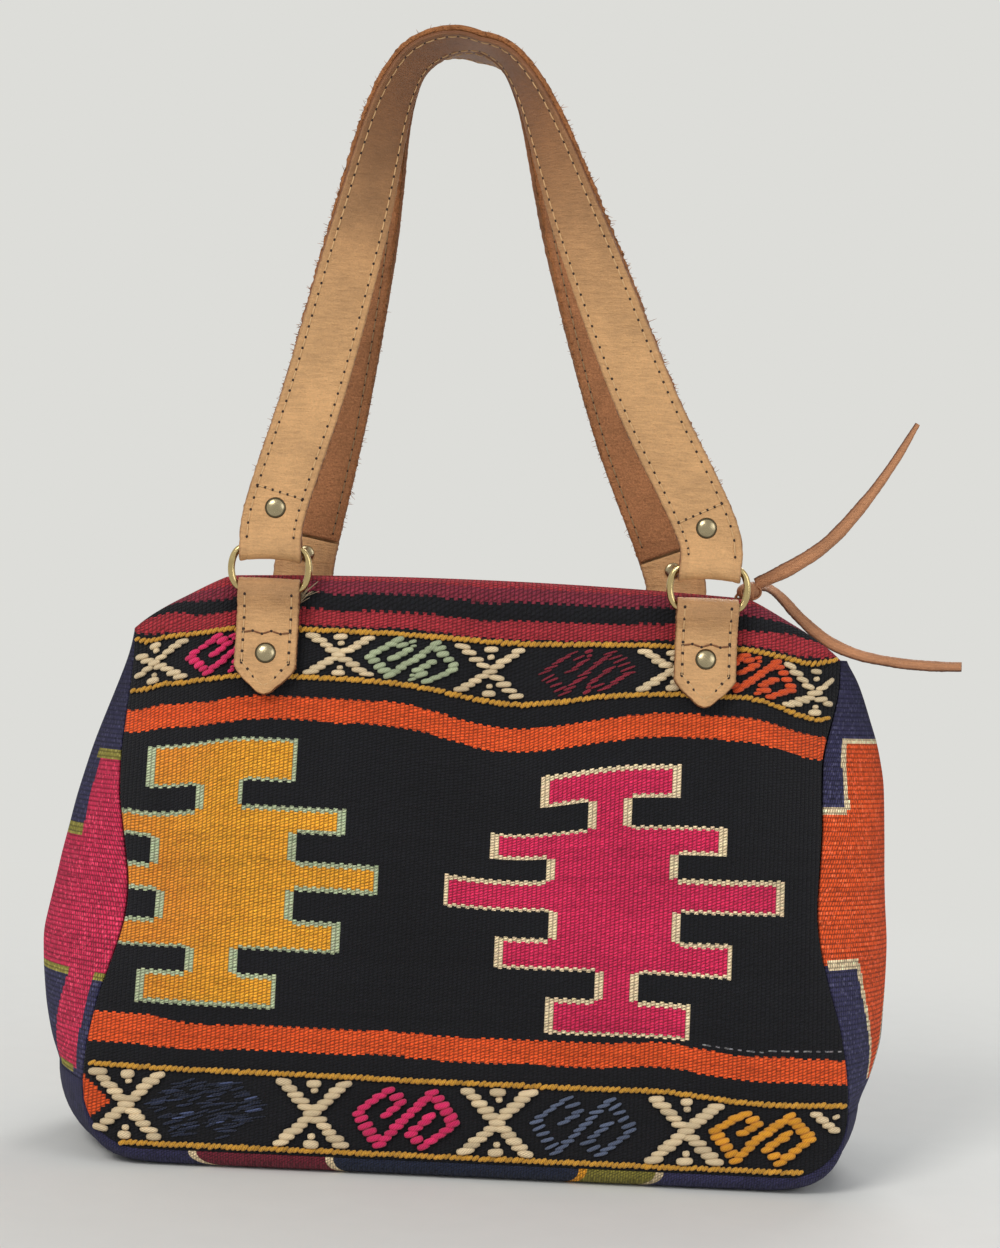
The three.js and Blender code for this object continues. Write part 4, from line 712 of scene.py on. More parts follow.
def in_steps(steps, x, along):
    inside = np.zeros(np.broadcast(x, along).shape, bool)
    for low, high, middle, half in steps:
        inside |= (along >= low) & (along < high) & (np.abs(x - middle) < half)
    return inside


def medallion(dye, x, along, steps, border, filling):
    """A stepped medallion with a border inside its edge"""
    whole = in_steps(steps, x, along)
    core = whole.copy()
    for dx, da in ((OUTLINE_WIDE, 0), (-OUTLINE_WIDE, 0), (0, OUTLINE_HIGH), (0, -OUTLINE_HIGH)):
        core &= in_steps(steps, x + dx, along + da)
    dye[whole] = border
    dye[core] = filling[core]


def panel_dye(x, along):
    """Colour of each woven cell of a large panel"""
    comb = 0.3 * np.where(np.arange(x.shape[1]) % 2, 1, -1)[None, :]
    level = along + comb + (0.5 * np.sin(x / 23 + 0.7) + 0.35 * np.sin(x / 9.1 + 2))
    dye = np.tile(BLACK, (*x.shape, 1))
    widened = 2.4 * smooth(-x, 110, 140)
    dye[(level > LOWER_ORANGE[0]) & (level < LOWER_ORANGE[1] + widened)] = ORANGE
    dye[(level > UPPER_ORANGE[0]) & (level < UPPER_ORANGE[1])] = ORANGE
    dye[(level > RED_STRIPE[0]) & (level < RED_STRIPE[1])] = RED
    dye[level > RIDGE_BLACK] = DARK_RED
    dye[level > RIDGE_DARK_RED] = RED
    left_wedge = np.abs(along - LEFT_WEDGE_MIDDLE) < 0.85 * (LEFT_WEDGE_TIP - x)
    dye[(x < LEFT_WEDGE_TIP) & left_wedge] = ORANGE * 0.8
    warmth = 0.75 * smooth(-x + 8 * np.sin(along / 13), 96, 150)[..., None]
    medallion(dye, x, along + comb, GOLD_STEPS, SAGE, GOLD + (AMBER - GOLD) * warmth)
    medallion(dye, x, along + comb, PINK_STEPS, CREAM, np.broadcast_to(PINK, dye.shape))
    line = np.abs(along - 56.2 - 0.02 * (x - 96)) < 0.34
    dye[line & (x > 98) & (np.sin(x * 1.3) > -0.3)] = GREY_LINE
    row = rng.normal(0, 0.05, (x.shape[0], 1)) + 0.07 * np.sin(along / 6.3 + 1) * np.sin(along / 2.9)
    cell = rng.normal(0, 0.1, x.shape)
    patch = 0.08 * np.sin(x / 19 + along / 31) * np.sin(along / 23 - x / 47)
    dye = dye * np.clip(1 + row + cell + patch, 0.5, 1.6)[..., None]
    hue = rng.normal(0, 0.025, (*x.shape, 3))
    return np.clip(dye * (1 + hue) + 0.0008, 0, 1)


SEAM_ROWS = 2
PANEL_SEAM = 2.6
GUSSET_SEAM = 2.0


def widened_grid(values):
    """A grid with its outermost values repeated for the rows of a seam"""
    return np.pad(values, ((SEAM_ROWS, SEAM_ROWS), (SEAM_ROWS, SEAM_ROWS), (0, 0)), mode="edge")


def bordered(points, normals, depth):
    """The grid with two more rows and columns on every side, turned inwards as a seam is"""
    plain, inwards = widened_grid(points), widened_grid(normals)
    edge = plain.copy()
    for ring, sink in ((1, 0.45), (0, 1.0)):
        mask = np.ones(edge.shape[:2], bool)
        mask[ring + 1:-ring - 1, ring + 1:-ring - 1] = False
        edge[mask] = plain[mask] - inwards[mask] * depth * sink
    return edge


def mirror_back(points):
    return points * (1, -1, 1)


def large_panels():
    """Both large panels, the back's a mirror image of the front's"""
    reach = FOOT_HALF + 0.5
    columns = int(2 * reach / WARP)
    rows = int(PANEL_LENGTH / WEFT)
    x, along = np.meshgrid(np.linspace(-reach, reach, columns + 1), np.linspace(0, PANEL_LENGTH, rows + 1))
    dye = panel_dye((x[:-1, :-1] + x[:-1, 1:]) / 2, (along[:-1, :-1] + along[1:, :-1]) / 2)
    points = bordered(*cloth_surface(x, along), PANEL_SEAM).reshape(-1, 3)
    uv = np.stack(np.meshgrid(np.arange(columns + 5.0), np.arange(rows + 5.0) / 2), -1).reshape(-1, 2)
    faces = grid_faces(rows + 2 * SEAM_ROWS, columns + 2 * SEAM_ROWS)
    keep = real_quads(points, faces, 0.02)
    faces, dye = faces[keep], widened_grid(dye).reshape(-1, 3)[keep]
    look = (CLOTH_WEAVE, "bag", "tapestry_cloth")
    front = build("front_kilim", points, faces, *look, ["front_panel"], dye, uv)
    back = build("back_kilim", mirror_back(points), faces[:, ::-1], *look, ["back_panel"], dye, uv)
    return front, back


front_cloth, back_cloth = large_panels()


# Brocade: yarn laid over the cloth in slanted stitches

S_STROKE = [(-0.49, 0), (-0.08, 0.52), (-0.38, 1), (-1.03, 0.1), (-0.54, -1)]
S_STROKE = S_STROKE + [(-u, -v) for u, v in reversed(S_STROKE)]
LOWER_MIDDLE = 18.2
UPPER_MIDDLE = 215.5
# Half width, half height, stitch length and stitch width of the crosses in each band
LOWER_CROSS = (13.0, 12.9, 7.4, 3.05)
UPPER_CROSS = (12.2, 8.0, 6.8, 2.5)
# Place, colour, stitch width and share of stitches kept
LOWER_FIGURES = ((-111, NAVY, 0.95, 0.85), (-25, HOT_PINK, 2.9, 1), (51, SLATE, 1.6, 0.95), (128, GOLD, 2.9, 1))
# Place, colour, half width, pitch, stitch length and stitch width
UPPER_FIGURES = (
    (-111, HOT_PINK, 18.5, 1.95, 5.6, 2.4), (-32, SAGE, 18.5, 1.95, 5.6, 2.4),
    (45, BURGUNDY * 1.15, 18.5, 1.65, 6.4, 0.95), (119.5, ORANGE, 15.5, 1.95, 5.6, 2.4),
)
# Height and reach to each side of the twisted cords
CORDS = ((2.3, FOOT_HALF - 17), (34.4, FOOT_HALF - 1.5), (204.8, PANEL_HALF + 3), (226.3, PANEL_HALF + 3))


class Brocade:
    """Stitches collected by place on the cloth"""

    def __init__(self):
        self.rows = []

    def stitch(self, x, along, length, width, slant, colour):
        self.rows.append((x, along, length, width, slant, *colour))

    def stroke(self, path, pitch, length, width, slant, colour, keep=1.0):
        """Rows of stitches where a stroke crosses them"""
        fine = resample(np.array([(x, a, 0.0) for x, a in path]), 0.25)
        low = fine[:, 1].min()
        index = np.round((fine[:, 1] - low) / pitch).astype(int)
        start = 0
        for k in range(1, len(fine) + 1):
            if k < len(fine) and index[k] == index[start]:
                continue
            left, right = fine[start:k, 0].min(), fine[start:k, 0].max()
            reach = max(right - left, 0.4 * length) + 0.35 * length
            count = max(int(round(reach / length)), 1)
            for n in range(count):
                if rng.random() > keep:
                    continue
                x = (left + right) / 2 + (n - (count - 1) / 2) * reach / count
                self.stitch(x, low + index[start] * pitch, max(reach / count, length), width, slant, colour)
            start = k

    def cross(self, x, along, half_wide, half_high, length, width):
        """Two crossing arms of thick stitches and a dot above and below them"""
        steps = int(round(half_high / (0.8 * width)))
        for k in range(-steps, steps + 1):
            rise = along + half_high * k / steps
            for side, slant in ((1, 0.2), (-1, -0.02)) if k else ((1, 0.1),):
                self.stitch(x + side * half_wide * k / steps, rise, length, width, slant, CREAM)
        for end in (-1, 1):
            self.stitch(x, along + end * half_high, length * 0.9, width * 1.1, 0.08, CREAM)
            rise = along + end * (half_high - 1.05 * width)
            self.stitch(x + 0.4, rise, length * 0.42, width * 0.85, 0.2, CREAM)

    def cord(self, along, reach):
        for x in np.arange(-reach, reach, 2.4):
            self.stitch(x, along, 3.7, 1.85, 0.5, YELLOW)

    def piece(self, name, mirrored):
        data = np.array(self.rows)
        count = len(data)
        shake = np.random.default_rng(5)
        x = data[:, 0] + shake.normal(0, 0.18, count)
        along = data[:, 1] + shake.normal(0, 0.12, count)
        slant = data[:, 4] + shake.normal(0, 0.06, count)
        length = data[:, 2] * (1 + shake.normal(0, 0.07, count))
        width = data[:, 3] * (1 + shake.normal(0, 0.06, count))
        colours = data[:, 5:] * np.clip(1 + shake.normal(0, 0.09, (count, 1)), 0.7, 1.3)
        half = length / 2
        row = along + pull(x, along)
        room = half_width(np.clip(row / FACE_LENGTH, 0, 1), x < 0) - np.abs(x) - 0.8 * half
        rise = along - seam_height(x / FOOT_HALF) + SEAM_HEIGHT
        kept = (room > 0.6) & (rise > 1.0) & (row < FACE_LENGTH + 0.7 * ROLL_LENGTH)
        centre, normal = cloth_surface(x, along)
        tip, tail = (cloth_surface(x + end * np.cos(slant) * half, along + end * np.sin(slant) * half)[0]
                     for end in (1, -1))
        if mirrored:
            centre, normal, tip, tail = (mirror_back(v) for v in (centre, normal, tip, tail))
        centre = centre + normal * 0.22 * width[:, None]
        heap = Heap()
        stitches(heap, *(v[kept] for v in (centre, tip - tail, normal, length, width, width * 0.72, colours)))
        return heap.piece(name, YARN, "bag", "tapestry_cloth")


def brocade():
    """The figures of both bands and the cords beside them"""
    work = Brocade()
    for x in (-145, -65, 14, 95):
        work.cross(x, LOWER_MIDDLE, *LOWER_CROSS)
    for k in range(4):
        work.stitch(151 + 2.6 * k, LOWER_MIDDLE + 12.4 - 2.6 * k, 5.6, 3.0, -0.02, CREAM)
    work.stitch(159.5, LOWER_MIDDLE + 11.4, 3.4, 2.2, 0.3, CREAM)
    for x, colour, width, keep in LOWER_FIGURES:
        path = [(x + 20.5 * u, LOWER_MIDDLE + 11.8 * v) for u, v in S_STROKE]
        work.stroke(path, 2.58, 6.2, width, 0.36, colour, keep)
        for _ in range(90 if colour is NAVY else 0):
            rise = rng.uniform(-11.5, 11.5)
            reach = 26 - 1.2 * abs(rise)
            # Copies of one navy at several brightnesses: the brightest are painted highlights on the yarn, the
            # darkest painted shade
            tone = colour * rng.choice((0.6, 1.0, 1.7, 4.6), p=(0.34, 0.34, 0.2, 0.12))
            work.stitch(x + rng.uniform(-reach, reach), LOWER_MIDDLE + rise, 6.5, 0.7, 0.2, tone)
    for x in (-146, -64, 2, 82, 146):
        work.cross(x, UPPER_MIDDLE, *UPPER_CROSS)
    for x, colour, half_wide, pitch, length, width in UPPER_FIGURES:
        path = [(x + half_wide * u, UPPER_MIDDLE + 7.6 * v) for u, v in S_STROKE]
        work.stroke(path, pitch, length, width, 0.3, colour)
        for end in (-1, 1):
            work.stitch(x, UPPER_MIDDLE + end * 8.0, 3.8, 1.6, 0.3, colour)
            work.stitch(x + 0.5, UPPER_MIDDLE + end * 6.2, 2.4, 1.4, 0.3, colour)
    for along, reach in CORDS:
        work.cord(along, reach)
    return work


embroidery = brocade()
front_brocade = embroidery.piece("front_brocade", False)
back_brocade = embroidery.piece("back_brocade", True)


# Gussets

GUSSET_RIB = 2.0
GUSSET_STITCH = 1.15
GUSSET_TOP = SHOULDER_HEIGHT - CORNER_DROOP
GUSSET_FOOT_HEIGHT = seam_height(1.0)
GUSSET_RISE = GUSSET_TOP - GUSSET_FOOT_HEIGHT
GUSSET_SHARE = 1.064
GUSSET_ROWS = 180
GUSSET_COLUMNS = 104


def outline(points):
    """A side's outermost reach by height, rounded between the given heights"""
    height = np.arange(20, 241.0)
    sharp = np.interp(height, *np.array(points, float).T)
    weight = np.hanning(19)
    return height, np.convolve(np.pad(sharp, 9, mode="edge"), weight / weight.sum(), "valid")


LEFT_OUTLINE = outline([
    (35, 181.5), (42, 185.3), (50, 187.7), (60, 189.8), (75, 191.4), (91, 192.3), (127, 186.5), (150, 181),
    (177, 172.7), (194, 166.8), (206, 162.6), (217, 159), (228, 157),
])
RIGHT_OUTLINE = outline([
    (35, 175), (43, 180), (59, 184.5), (104, 185.5), (144, 183), (175, 180), (191, 176.5), (203, 172.3),
    (211, 169.6), (221, 165.4), (228, 160),
])


def gusset_surface(across, share, left):
    """A gusset, swelling towards +X: across runs -1 at the front seam to 1 at the back seam"""
    height = GUSSET_FOOT_HEIGHT + GUSSET_RISE * share
    level = np.minimum((height - SEAM_HEIGHT) / (GUSSET_TOP - SEAM_HEIGHT), 1)
    above = np.clip((height - GUSSET_TOP) / ROLL_HEIGHT, 0, 0.97)
    depth = face_depth(1.0, level) * np.sqrt(1 - above**2)
    step = across * np.maximum(1 - SEAM_GAP / (2 * depth), 0.985)
    crease = 1.3 * np.sin(3.1 * across + 1.0) * np.sin(np.pi * np.minimum(share, 1)) ** 2
    crease = crease * np.sin(9 * share + across)
    seam = half_width(level, left)
    swell = np.maximum(np.interp(height, *(LEFT_OUTLINE if left else RIGHT_OUTLINE)) - seam, 0.4)
    x = seam + swell * (1 - step**2) + crease * (1 - across**4)
    return np.stack(np.broadcast_arrays(x, depth * step, height), -1)


def gusset_dye(place, height, blocks, bars, filling, ledge, rim):
    """Violet ground with a stepped column: place runs 0 at the front seam to 1 at the back"""
    dye = np.tile(VIOLET, (*place.shape, 1))
    for low, high, at_low, at_high in blocks:
        t = np.clip((height - low) / (high - low), 0, 1)
        a, b = (first + (last - first) * t for first, last in zip(at_low, at_high))
        rows = (height >= low) & (height < high)
        dye[rows & (place > a) & (place < b)] = filling
        if rim is not None:
            dye[rows & (np.minimum(np.abs(place - a), np.abs(place - b)) < 0.012)] = rim
    for middle, thick, a, b in bars:
        dye[(np.abs(height - middle) < thick / 2) & (place > a) & (place < b)] = ledge
    tone = 1 + rng.normal(0, 0.13, place.shape) + rng.normal(0, 0.06, (place.shape[0], 1))
    fleck = rng.random(place.shape) > 0.86
    dye = dye * np.clip(tone, 0.5, 1.7)[..., None]
    dye[fleck] = dye[fleck] * 1.4 + 0.025
    return np.clip(dye, 0, 1)


def gusset(name, side, node, *pattern):
    share = np.linspace(0, GUSSET_SHARE, GUSSET_ROWS + 1)[:, None]
    across = np.linspace(-1, 1, GUSSET_COLUMNS + 1)[None, :]
    points = gusset_surface(across, share, side < 0)
    normals = unit(np.cross(np.gradient(points, axis=1), np.gradient(points, axis=0)))
    height = GUSSET_FOOT_HEIGHT + GUSSET_RISE * (share[:-1] + share[1:]) / 2
    place = (across[:, :-1] + across[:, 1:]) / 4 + 0.5
    dye = widened_grid(gusset_dye(*np.broadcast_arrays(place, height), *pattern)).reshape(-1, 3)
    points = bordered(points, normals, GUSSET_SEAM).reshape(-1, 3) * (side, 1, 1)
    ribs = np.arange(GUSSET_ROWS + 5.0) * GUSSET_SHARE * GUSSET_RISE / GUSSET_ROWS / GUSSET_RIB
    stitch = np.arange(GUSSET_COLUMNS + 5.0) * BASE_DEPTH / GUSSET_COLUMNS / GUSSET_STITCH
    uv = np.stack(np.broadcast_arrays(ribs[:, None], stitch[None, :]), -1).reshape(-1, 2)
    faces = grid_faces(GUSSET_ROWS + 2 * SEAM_ROWS, GUSSET_COLUMNS + 2 * SEAM_ROWS)
    if side < 0:
        faces = faces[:, ::-1]
    obj = build(name, points, faces, GUSSET_WEAVE, "bag", "gusset_cloth", [node], dye, uv)


# Low, high, and both edges at the low and at the high end of each block
LEFT_BLOCKS = [
    (38, 77, (0.05, 0.27), (0.035, 0.16)),
    (77, 137, (-0.1, 0.62), (-0.1, 0.62)),
    (137, 172, (-0.1, 0.2), (-0.1, 0.18)),
]
RIGHT_BLOCKS = [
    (46, 96, (0.22, 0.29), (0.15, 0.5)),
    (96, 162, (-0.1, 0.66), (-0.1, 0.66)),
    (162, 192, (0.1, 0.52), (0.09, 0.5)),
]
# Middle, thickness and both ends of each bar
LEFT_BARS = [
    (172, 5, 0, 0.24), (138.5, 4.8, 0.2, 0.42), (77, 3.2, 0.16, 0.55), (77, 3.0, 0, 0.035), (38, 3, 0.08, 0.24),
]
RIGHT_BARS = [(192, 2.6, 0.08, 0.52), (162, 2.6, 0, 0.1), (96, 4.2, 0.01, 0.15), (96, 4.2, 0.5, 0.66)]
gusset("left_wedge", -1, "left_gusset", LEFT_BLOCKS, LEFT_BARS, ROSE, OLIVE, None)
gusset("right_wedge", 1, "right_gusset", RIGHT_BLOCKS, RIGHT_BARS, ORANGE, CREAM, CREAM)


# Base

BASE_GAP = 0.2
CORNER_PARTS = 16
END_PARTS = 40
BASE_FIELDS = [(-115, -57, DARK_RED * 0.9), (-57, 50, NAVY * 0.9), (53, 84, OLIVE * 0.7), (84, 120, VIOLET)]
BASE_TICKS = [(-115, CREAM), (-57, CREAM), (51.5, GOLD), (84, CREAM * 0.7)]


def base_dye(x):
    dye = np.tile(VIOLET * 0.85, (*x.shape, 1))
    for low, high, colour in BASE_FIELDS:
        dye[(x > low) & (x < high)] = colour
    for tick, colour in BASE_TICKS:
        dye[np.abs(x - tick) < 2.0] = colour
    return np.clip(dye * (1 + rng.normal(0, 0.12, (*x.shape, 1))), 0, 1)


def base_rim():
    """The base's upper edge: along the front's seam, round the right end, and the same again behind"""
    straight = FOOT_HALF - BOTTOM_ROUND
    top = GUSSET_FOOT_HEIGHT - BASE_GAP
    angle = np.arange(1, CORNER_PARTS + 1) / CORNER_PARTS * np.pi / 2
    reach = BOTTOM_ROUND + BASE_GAP
    corner_x = straight + reach * np.sin(angle)
    corner_z = np.minimum(SEAM_HEIGHT + BOTTOM_ROUND - reach * np.cos(angle), top)
    x = np.concatenate([-corner_x[::-1], np.linspace(-straight, straight, 161), corner_x])
    z = np.concatenate([corner_z[::-1], np.full(161, SEAM_HEIGHT - BASE_GAP), corner_z])
    across = np.minimum(np.abs(x) / FOOT_HALF, 1.0)
    shoulder = SHOULDER_HEIGHT - CORNER_DROOP * corner_share(across)
    depth = face_depth(across, np.maximum((z - SEAM_HEIGHT) / (shoulder - SEAM_HEIGHT), 0))
    past = np.arange(1, END_PARTS) / (END_PARTS / 2) - 1
    end = [FOOT_HALF + BASE_GAP + GUSSET_FOOT * (1 - past**2), past * depth[-1], np.full(END_PARTS - 1, top)]
    rim = np.concatenate([np.stack([x, -depth, z], 1), np.stack(end, 1)])
    rim = np.concatenate([rim, rim * (-1, -1, 1)])
    left_foot = np.interp(top, *LEFT_OUTLINE) - FOOT_HALF
    rim[:, 0] -= np.maximum(-rim[:, 0] - FOOT_HALF - BASE_GAP, 0) * (left_foot / GUSSET_FOOT - 1)
    return rim


def base():
    """The bottom strip: curled up to the seam in front and behind and round the corners at its ends"""
    rim = base_rim()
    reach = np.array([FOOT_HALF + GUSSET_FOOT, BASE_DEPTH / 2])
    bottom = rim * (*(1 - (BOTTOM_ROUND, BASE_ROUND) / reach), 0)
    loops = [rim * (*(1 - CLOTH / reach), 1) - (0, 0, 0.3)]
    for angle in np.linspace(0, np.pi / 2, 15):
        loops.append(bottom + (rim - bottom) * (math.cos(angle), math.cos(angle), 1 - math.sin(angle)))
    loops += [bottom * (1, share, 1) for share in np.linspace(1, 0, 25)[1:]]
    loops = np.array(loops)
    points = loops.reshape(-1, 3)
    faces = ring_faces(len(loops), len(rim))
    column = (rim[:, 0] + np.roll(rim[:, 0], -1)) / 2
    dye = base_dye(np.tile(column, len(loops) - 1))
    uv = np.stack([points[:, 0] / 1.15, points[:, 1] + points[:, 2]], -1)
    keep = real_quads(points, faces, 0.002)
    look = (BASE_WEAVE, "bag", "base_cloth")
    obj = build("base_cloth", points, faces[keep], *look, ["base_panel"], dye[keep], uv)


base()


# Leather strips

# Share of the half width, share of the thickness and cut-edge mark: from an edge to the middle of each side
STRIP_FACE = [
    (1, 0.62, 0.9), (0.985, 0.9, 0.5), (0.94, 1, 0.12), (0.82, 0.985, 0.05), (0.76, 0.9, 0.16), (0.7, 0.985, 0),
    (0.4, 1.03, 0),
]
STRIP_UNDER = [(1, 0.2, 1), (0.97, 0, 0.6), (0.5, 0, 0.35)]
STRIP_SECTION = np.array(
    [(-s, lift, mark) for s, lift, mark in STRIP_FACE] + [(0, 1.04, 0)] + STRIP_FACE[::-1]
    + STRIP_UNDER + [(0, 0, 0.3)] + [(-s, lift, mark) for s, lift, mark in STRIP_UNDER[::-1]]
)
HOLE_SIDES = 8


def strip(name, centre, wide, out, half, near, far, look, node, edge_jitter=0.12, tone=0, sink=0):
    """A strip of leather with rounded rough edges, pressed in slightly along its stitch rows"""
    count = len(centre)
    half, near, far, sink = (np.broadcast_to(v, count)[:, None] for v in (half, near, far, sink))
    share, lift, edge = STRIP_SECTION.T
    rough = rng.normal(0, edge_jitter, (count, len(share))) * (edge > 0.4)
    across = half * share + rough * np.sign(share)
    depth = near + (far - near) * lift
    points = centre[:, None, :] + wide[:, None, :] * across[..., None] + out[:, None, :] * depth[..., None]
    points[..., 2] -= sink * share**2
    faces = capped_faces(count, len(share))
    marks = np.zeros((len(faces), 3))
    # tone is painted shade: it blends faces towards the dark edge colour where the leather lies in shade
    painted_shade = np.repeat(np.broadcast_to(tone, count)[1:], len(share))
    marks[:-2, 0] = np.maximum(np.tile((edge + np.roll(edge, -1)) / 2, count - 1), painted_shade)
    marks[-2:, 0] = 0.9
    return build(name, points.reshape(-1, 3), faces, *look, [node], marks)


def stitch_row(heap, points, normals, thread=THREAD, size=0.6, width=0.62):
    """Dark discs at the given points, painted shade of the stitch holes, with thread sunk between them"""
    normals = unit(normals)
    along = unit(np.gradient(points, axis=0))
    side = np.cross(normals, along)
    turn = circle(HOLE_SIDES)[:, None]
    faces = ring_faces(2, HOLE_SIDES).tolist() + [list(range(HOLE_SIDES, 2 * HOLE_SIDES))]
    for point, normal, tangent, across in zip(points, normals, along, side):
        rim = point + size * (np.cos(turn) * across + 1.2 * np.sin(turn) * tangent)
        heap.add(np.concatenate([rim - 0.3 * normal, rim + 0.1 * normal]), faces, HOLE_SHADE)
    normal = unit(normals[1:] + normals[:-1])
    middle = (points[1:] + points[:-1]) / 2 - 0.12 * normal
    gap = points[1:] - points[:-1]
    stitches(heap, middle, gap, normal, np.linalg.norm(gap, axis=1) * 0.86, width, width, thread)


# Handles

STITCH_PITCH = 4.9
STITCH_INSET = 3.3
ROW_HALF = LEATHER_WIDTH / 2 - STITCH_INSET
FIBRES = 1000
FIBRE_GIRTH = np.array([0.13, 0.1, 0.04])
FOLD_PARTS = 14
FOLD_SINK = 1.6
FOLD_SINK_REACH = 14
# Heights over which the straps' face is painted darker towards the apex: painted shade under the arch
APEX_SHADE_FROM, APEX_SHADE_TO = 345, 485
LEG_SHARES = (0.35, 0.7)


def tab_line(ring_x, drop):
    """Start, rise and outward direction of a tab's back ply on the front; drop is how much lower it sits"""
    stretch = FACE_LENGTH / FACE_HEIGHT
    x = np.array(abs(ring_x) * 1.0)
    tip = smooth_form(x, np.array(stretch * (FACE_HEIGHT - TAB_REACH - drop)), 0)
    roll = smooth_form(x, np.array(FACE_LENGTH + 0.4 * ROLL_LENGTH - stretch * drop), 0)
    rise = unit(np.array([0, roll[1] - tip[1], roll[2] - tip[2]]))
    out = np.array([0, -rise[2], rise[1]])
    start = np.array([0, tip[1], tip[2]]) + out * (RELIEF + TAB_STANDOFF + TAB_PLY / 2)
    return start, rise, out


def lower_bar(ring_x, drop):
    start, rise, out = tab_line(ring_x, drop)
    return start + rise * (TAB_LENGTH - TAB_PLY - LOOP_INSIDE) + out * (LOOP_INSIDE + TAB_PLY / 2)


def strap_line(ring_x, drop):
    """Evenly spaced centre line of a strap, from the left upper bar over the apex to the right one"""
    bar = lower_bar(ring_x, drop) + (0, 0, RING_BAR_SPACING)
    centre = np.array([APEX_OFFSET, APEX_HEIGHT - ARCH_RADIUS])
    apex_y = -(LEATHER_WIDTH + HANDLE_GAP) / 2

    def on_arch(angle):
        return centre + ARCH_RADIUS * np.array([math.cos(angle), math.sin(angle)])

    def leg(side):
        """Points up a leg to where it touches the arch, and the angle there"""
        foot = np.array([side * ring_x, bar[2]])
        away = foot - centre
        swing = math.acos(ARCH_RADIUS / np.linalg.norm(away))
        angle = math.atan2(away[1], away[0]) + side * swing
        angle = angle % (2 * math.pi) if side < 0 else (angle + math.pi) % (2 * math.pi) - math.pi
        touch = on_arch(angle)
        return [foot, foot + (0, STRAP_FOLD), *(foot + (touch - foot) * s for s in LEG_SHARES), touch], angle

    (left, left_angle), (right_leg, right_angle) = leg(-1), leg(1)
    arch = [on_arch(left_angle + (right_angle - left_angle) * k / 4) for k in (1, 2, 3)]
    flat = left + arch + right_leg[::-1]
    lean = (apex_y - bar[1]) / (APEX_HEIGHT - bar[2])
    return catmull([(x, bar[1] + lean * (z - bar[2]), z) for x, z in flat], 1.2)


def strap_frames(line):
    """Distance, length, width direction and outward direction of a strap: its face turns inwards to the apex"""
    length = np.linalg.norm(np.diff(line, axis=0), axis=1).sum()
    distance = np.linspace(0, length, len(line))
    tangent = unit(np.gradient(line, axis=0) * (1, 0, 1))
    inward = np.stack([tangent[:, 2], 0 * distance, -tangent[:, 0]], 1)
    nearness = 1 - np.abs(2 * distance / length - 1)
    twist = (np.pi / 2 * nearness**2)[:, None]
    front = np.array([0, -1.0, 0])
    settle = smooth(np.minimum(distance, length - distance), 0, STRAP_FOLD)[:, None]
    sideways = np.where(distance < length / 2, 1.0, -1.0)[:, None] * np.array([1.0, 0, 0])
    across = unit(inward * settle + sideways * (1 - settle))
    wide = across * np.cos(twist) - front * np.sin(twist)
    out = front * np.cos(twist) + across * np.sin(twist)
    return distance, length, wide, out


def ply_opening(distance):
    return LOOP_INSIDE + (PLY_GAP / 2 - LOOP_INSIDE) * smooth(distance, 0, STRAP_FOLD)


def turned(obj, mirrored):
    """The back's copy of a front piece, mirrored across the ridge"""
    if mirrored:
        for vertex in obj.data.vertices:
            vertex.co.y = -vertex.co.y
        obj.data.flip_normals()


def fuzz(name, line, wide, out, body):
    """Loose fibres along the cut edges of a strap's lining"""
    heap = Heap()
    for k in rng.integers(STRAP_TAIL, len(line) - STRAP_TAIL, FIBRES):
        side = rng.choice((-1, 1))
        root = line[k] + wide[k] * side * (LEATHER_WIDTH / 2 - 0.4) - out[k] * rng.uniform(0.3, STRAP_INNER_PLY)
        lean = wide[k] * side * rng.uniform(0.7, 1.8) + rng.normal(0, 0.7, 3)
        path = np.array([root, root + lean * 0.6, root + lean])
        tangent = unit(np.gradient(path, axis=0))
        across = unit(np.cross(tangent, out[k]))
        colour = SUEDE * rng.uniform(0.5, 1.2)
        tube(heap, path, across, np.cross(across, tangent), FIBRE_GIRTH, FIBRE_GIRTH, colour, 4)
    return heap.piece(name, THREAD_YARN, body, "strap_lining_leather")


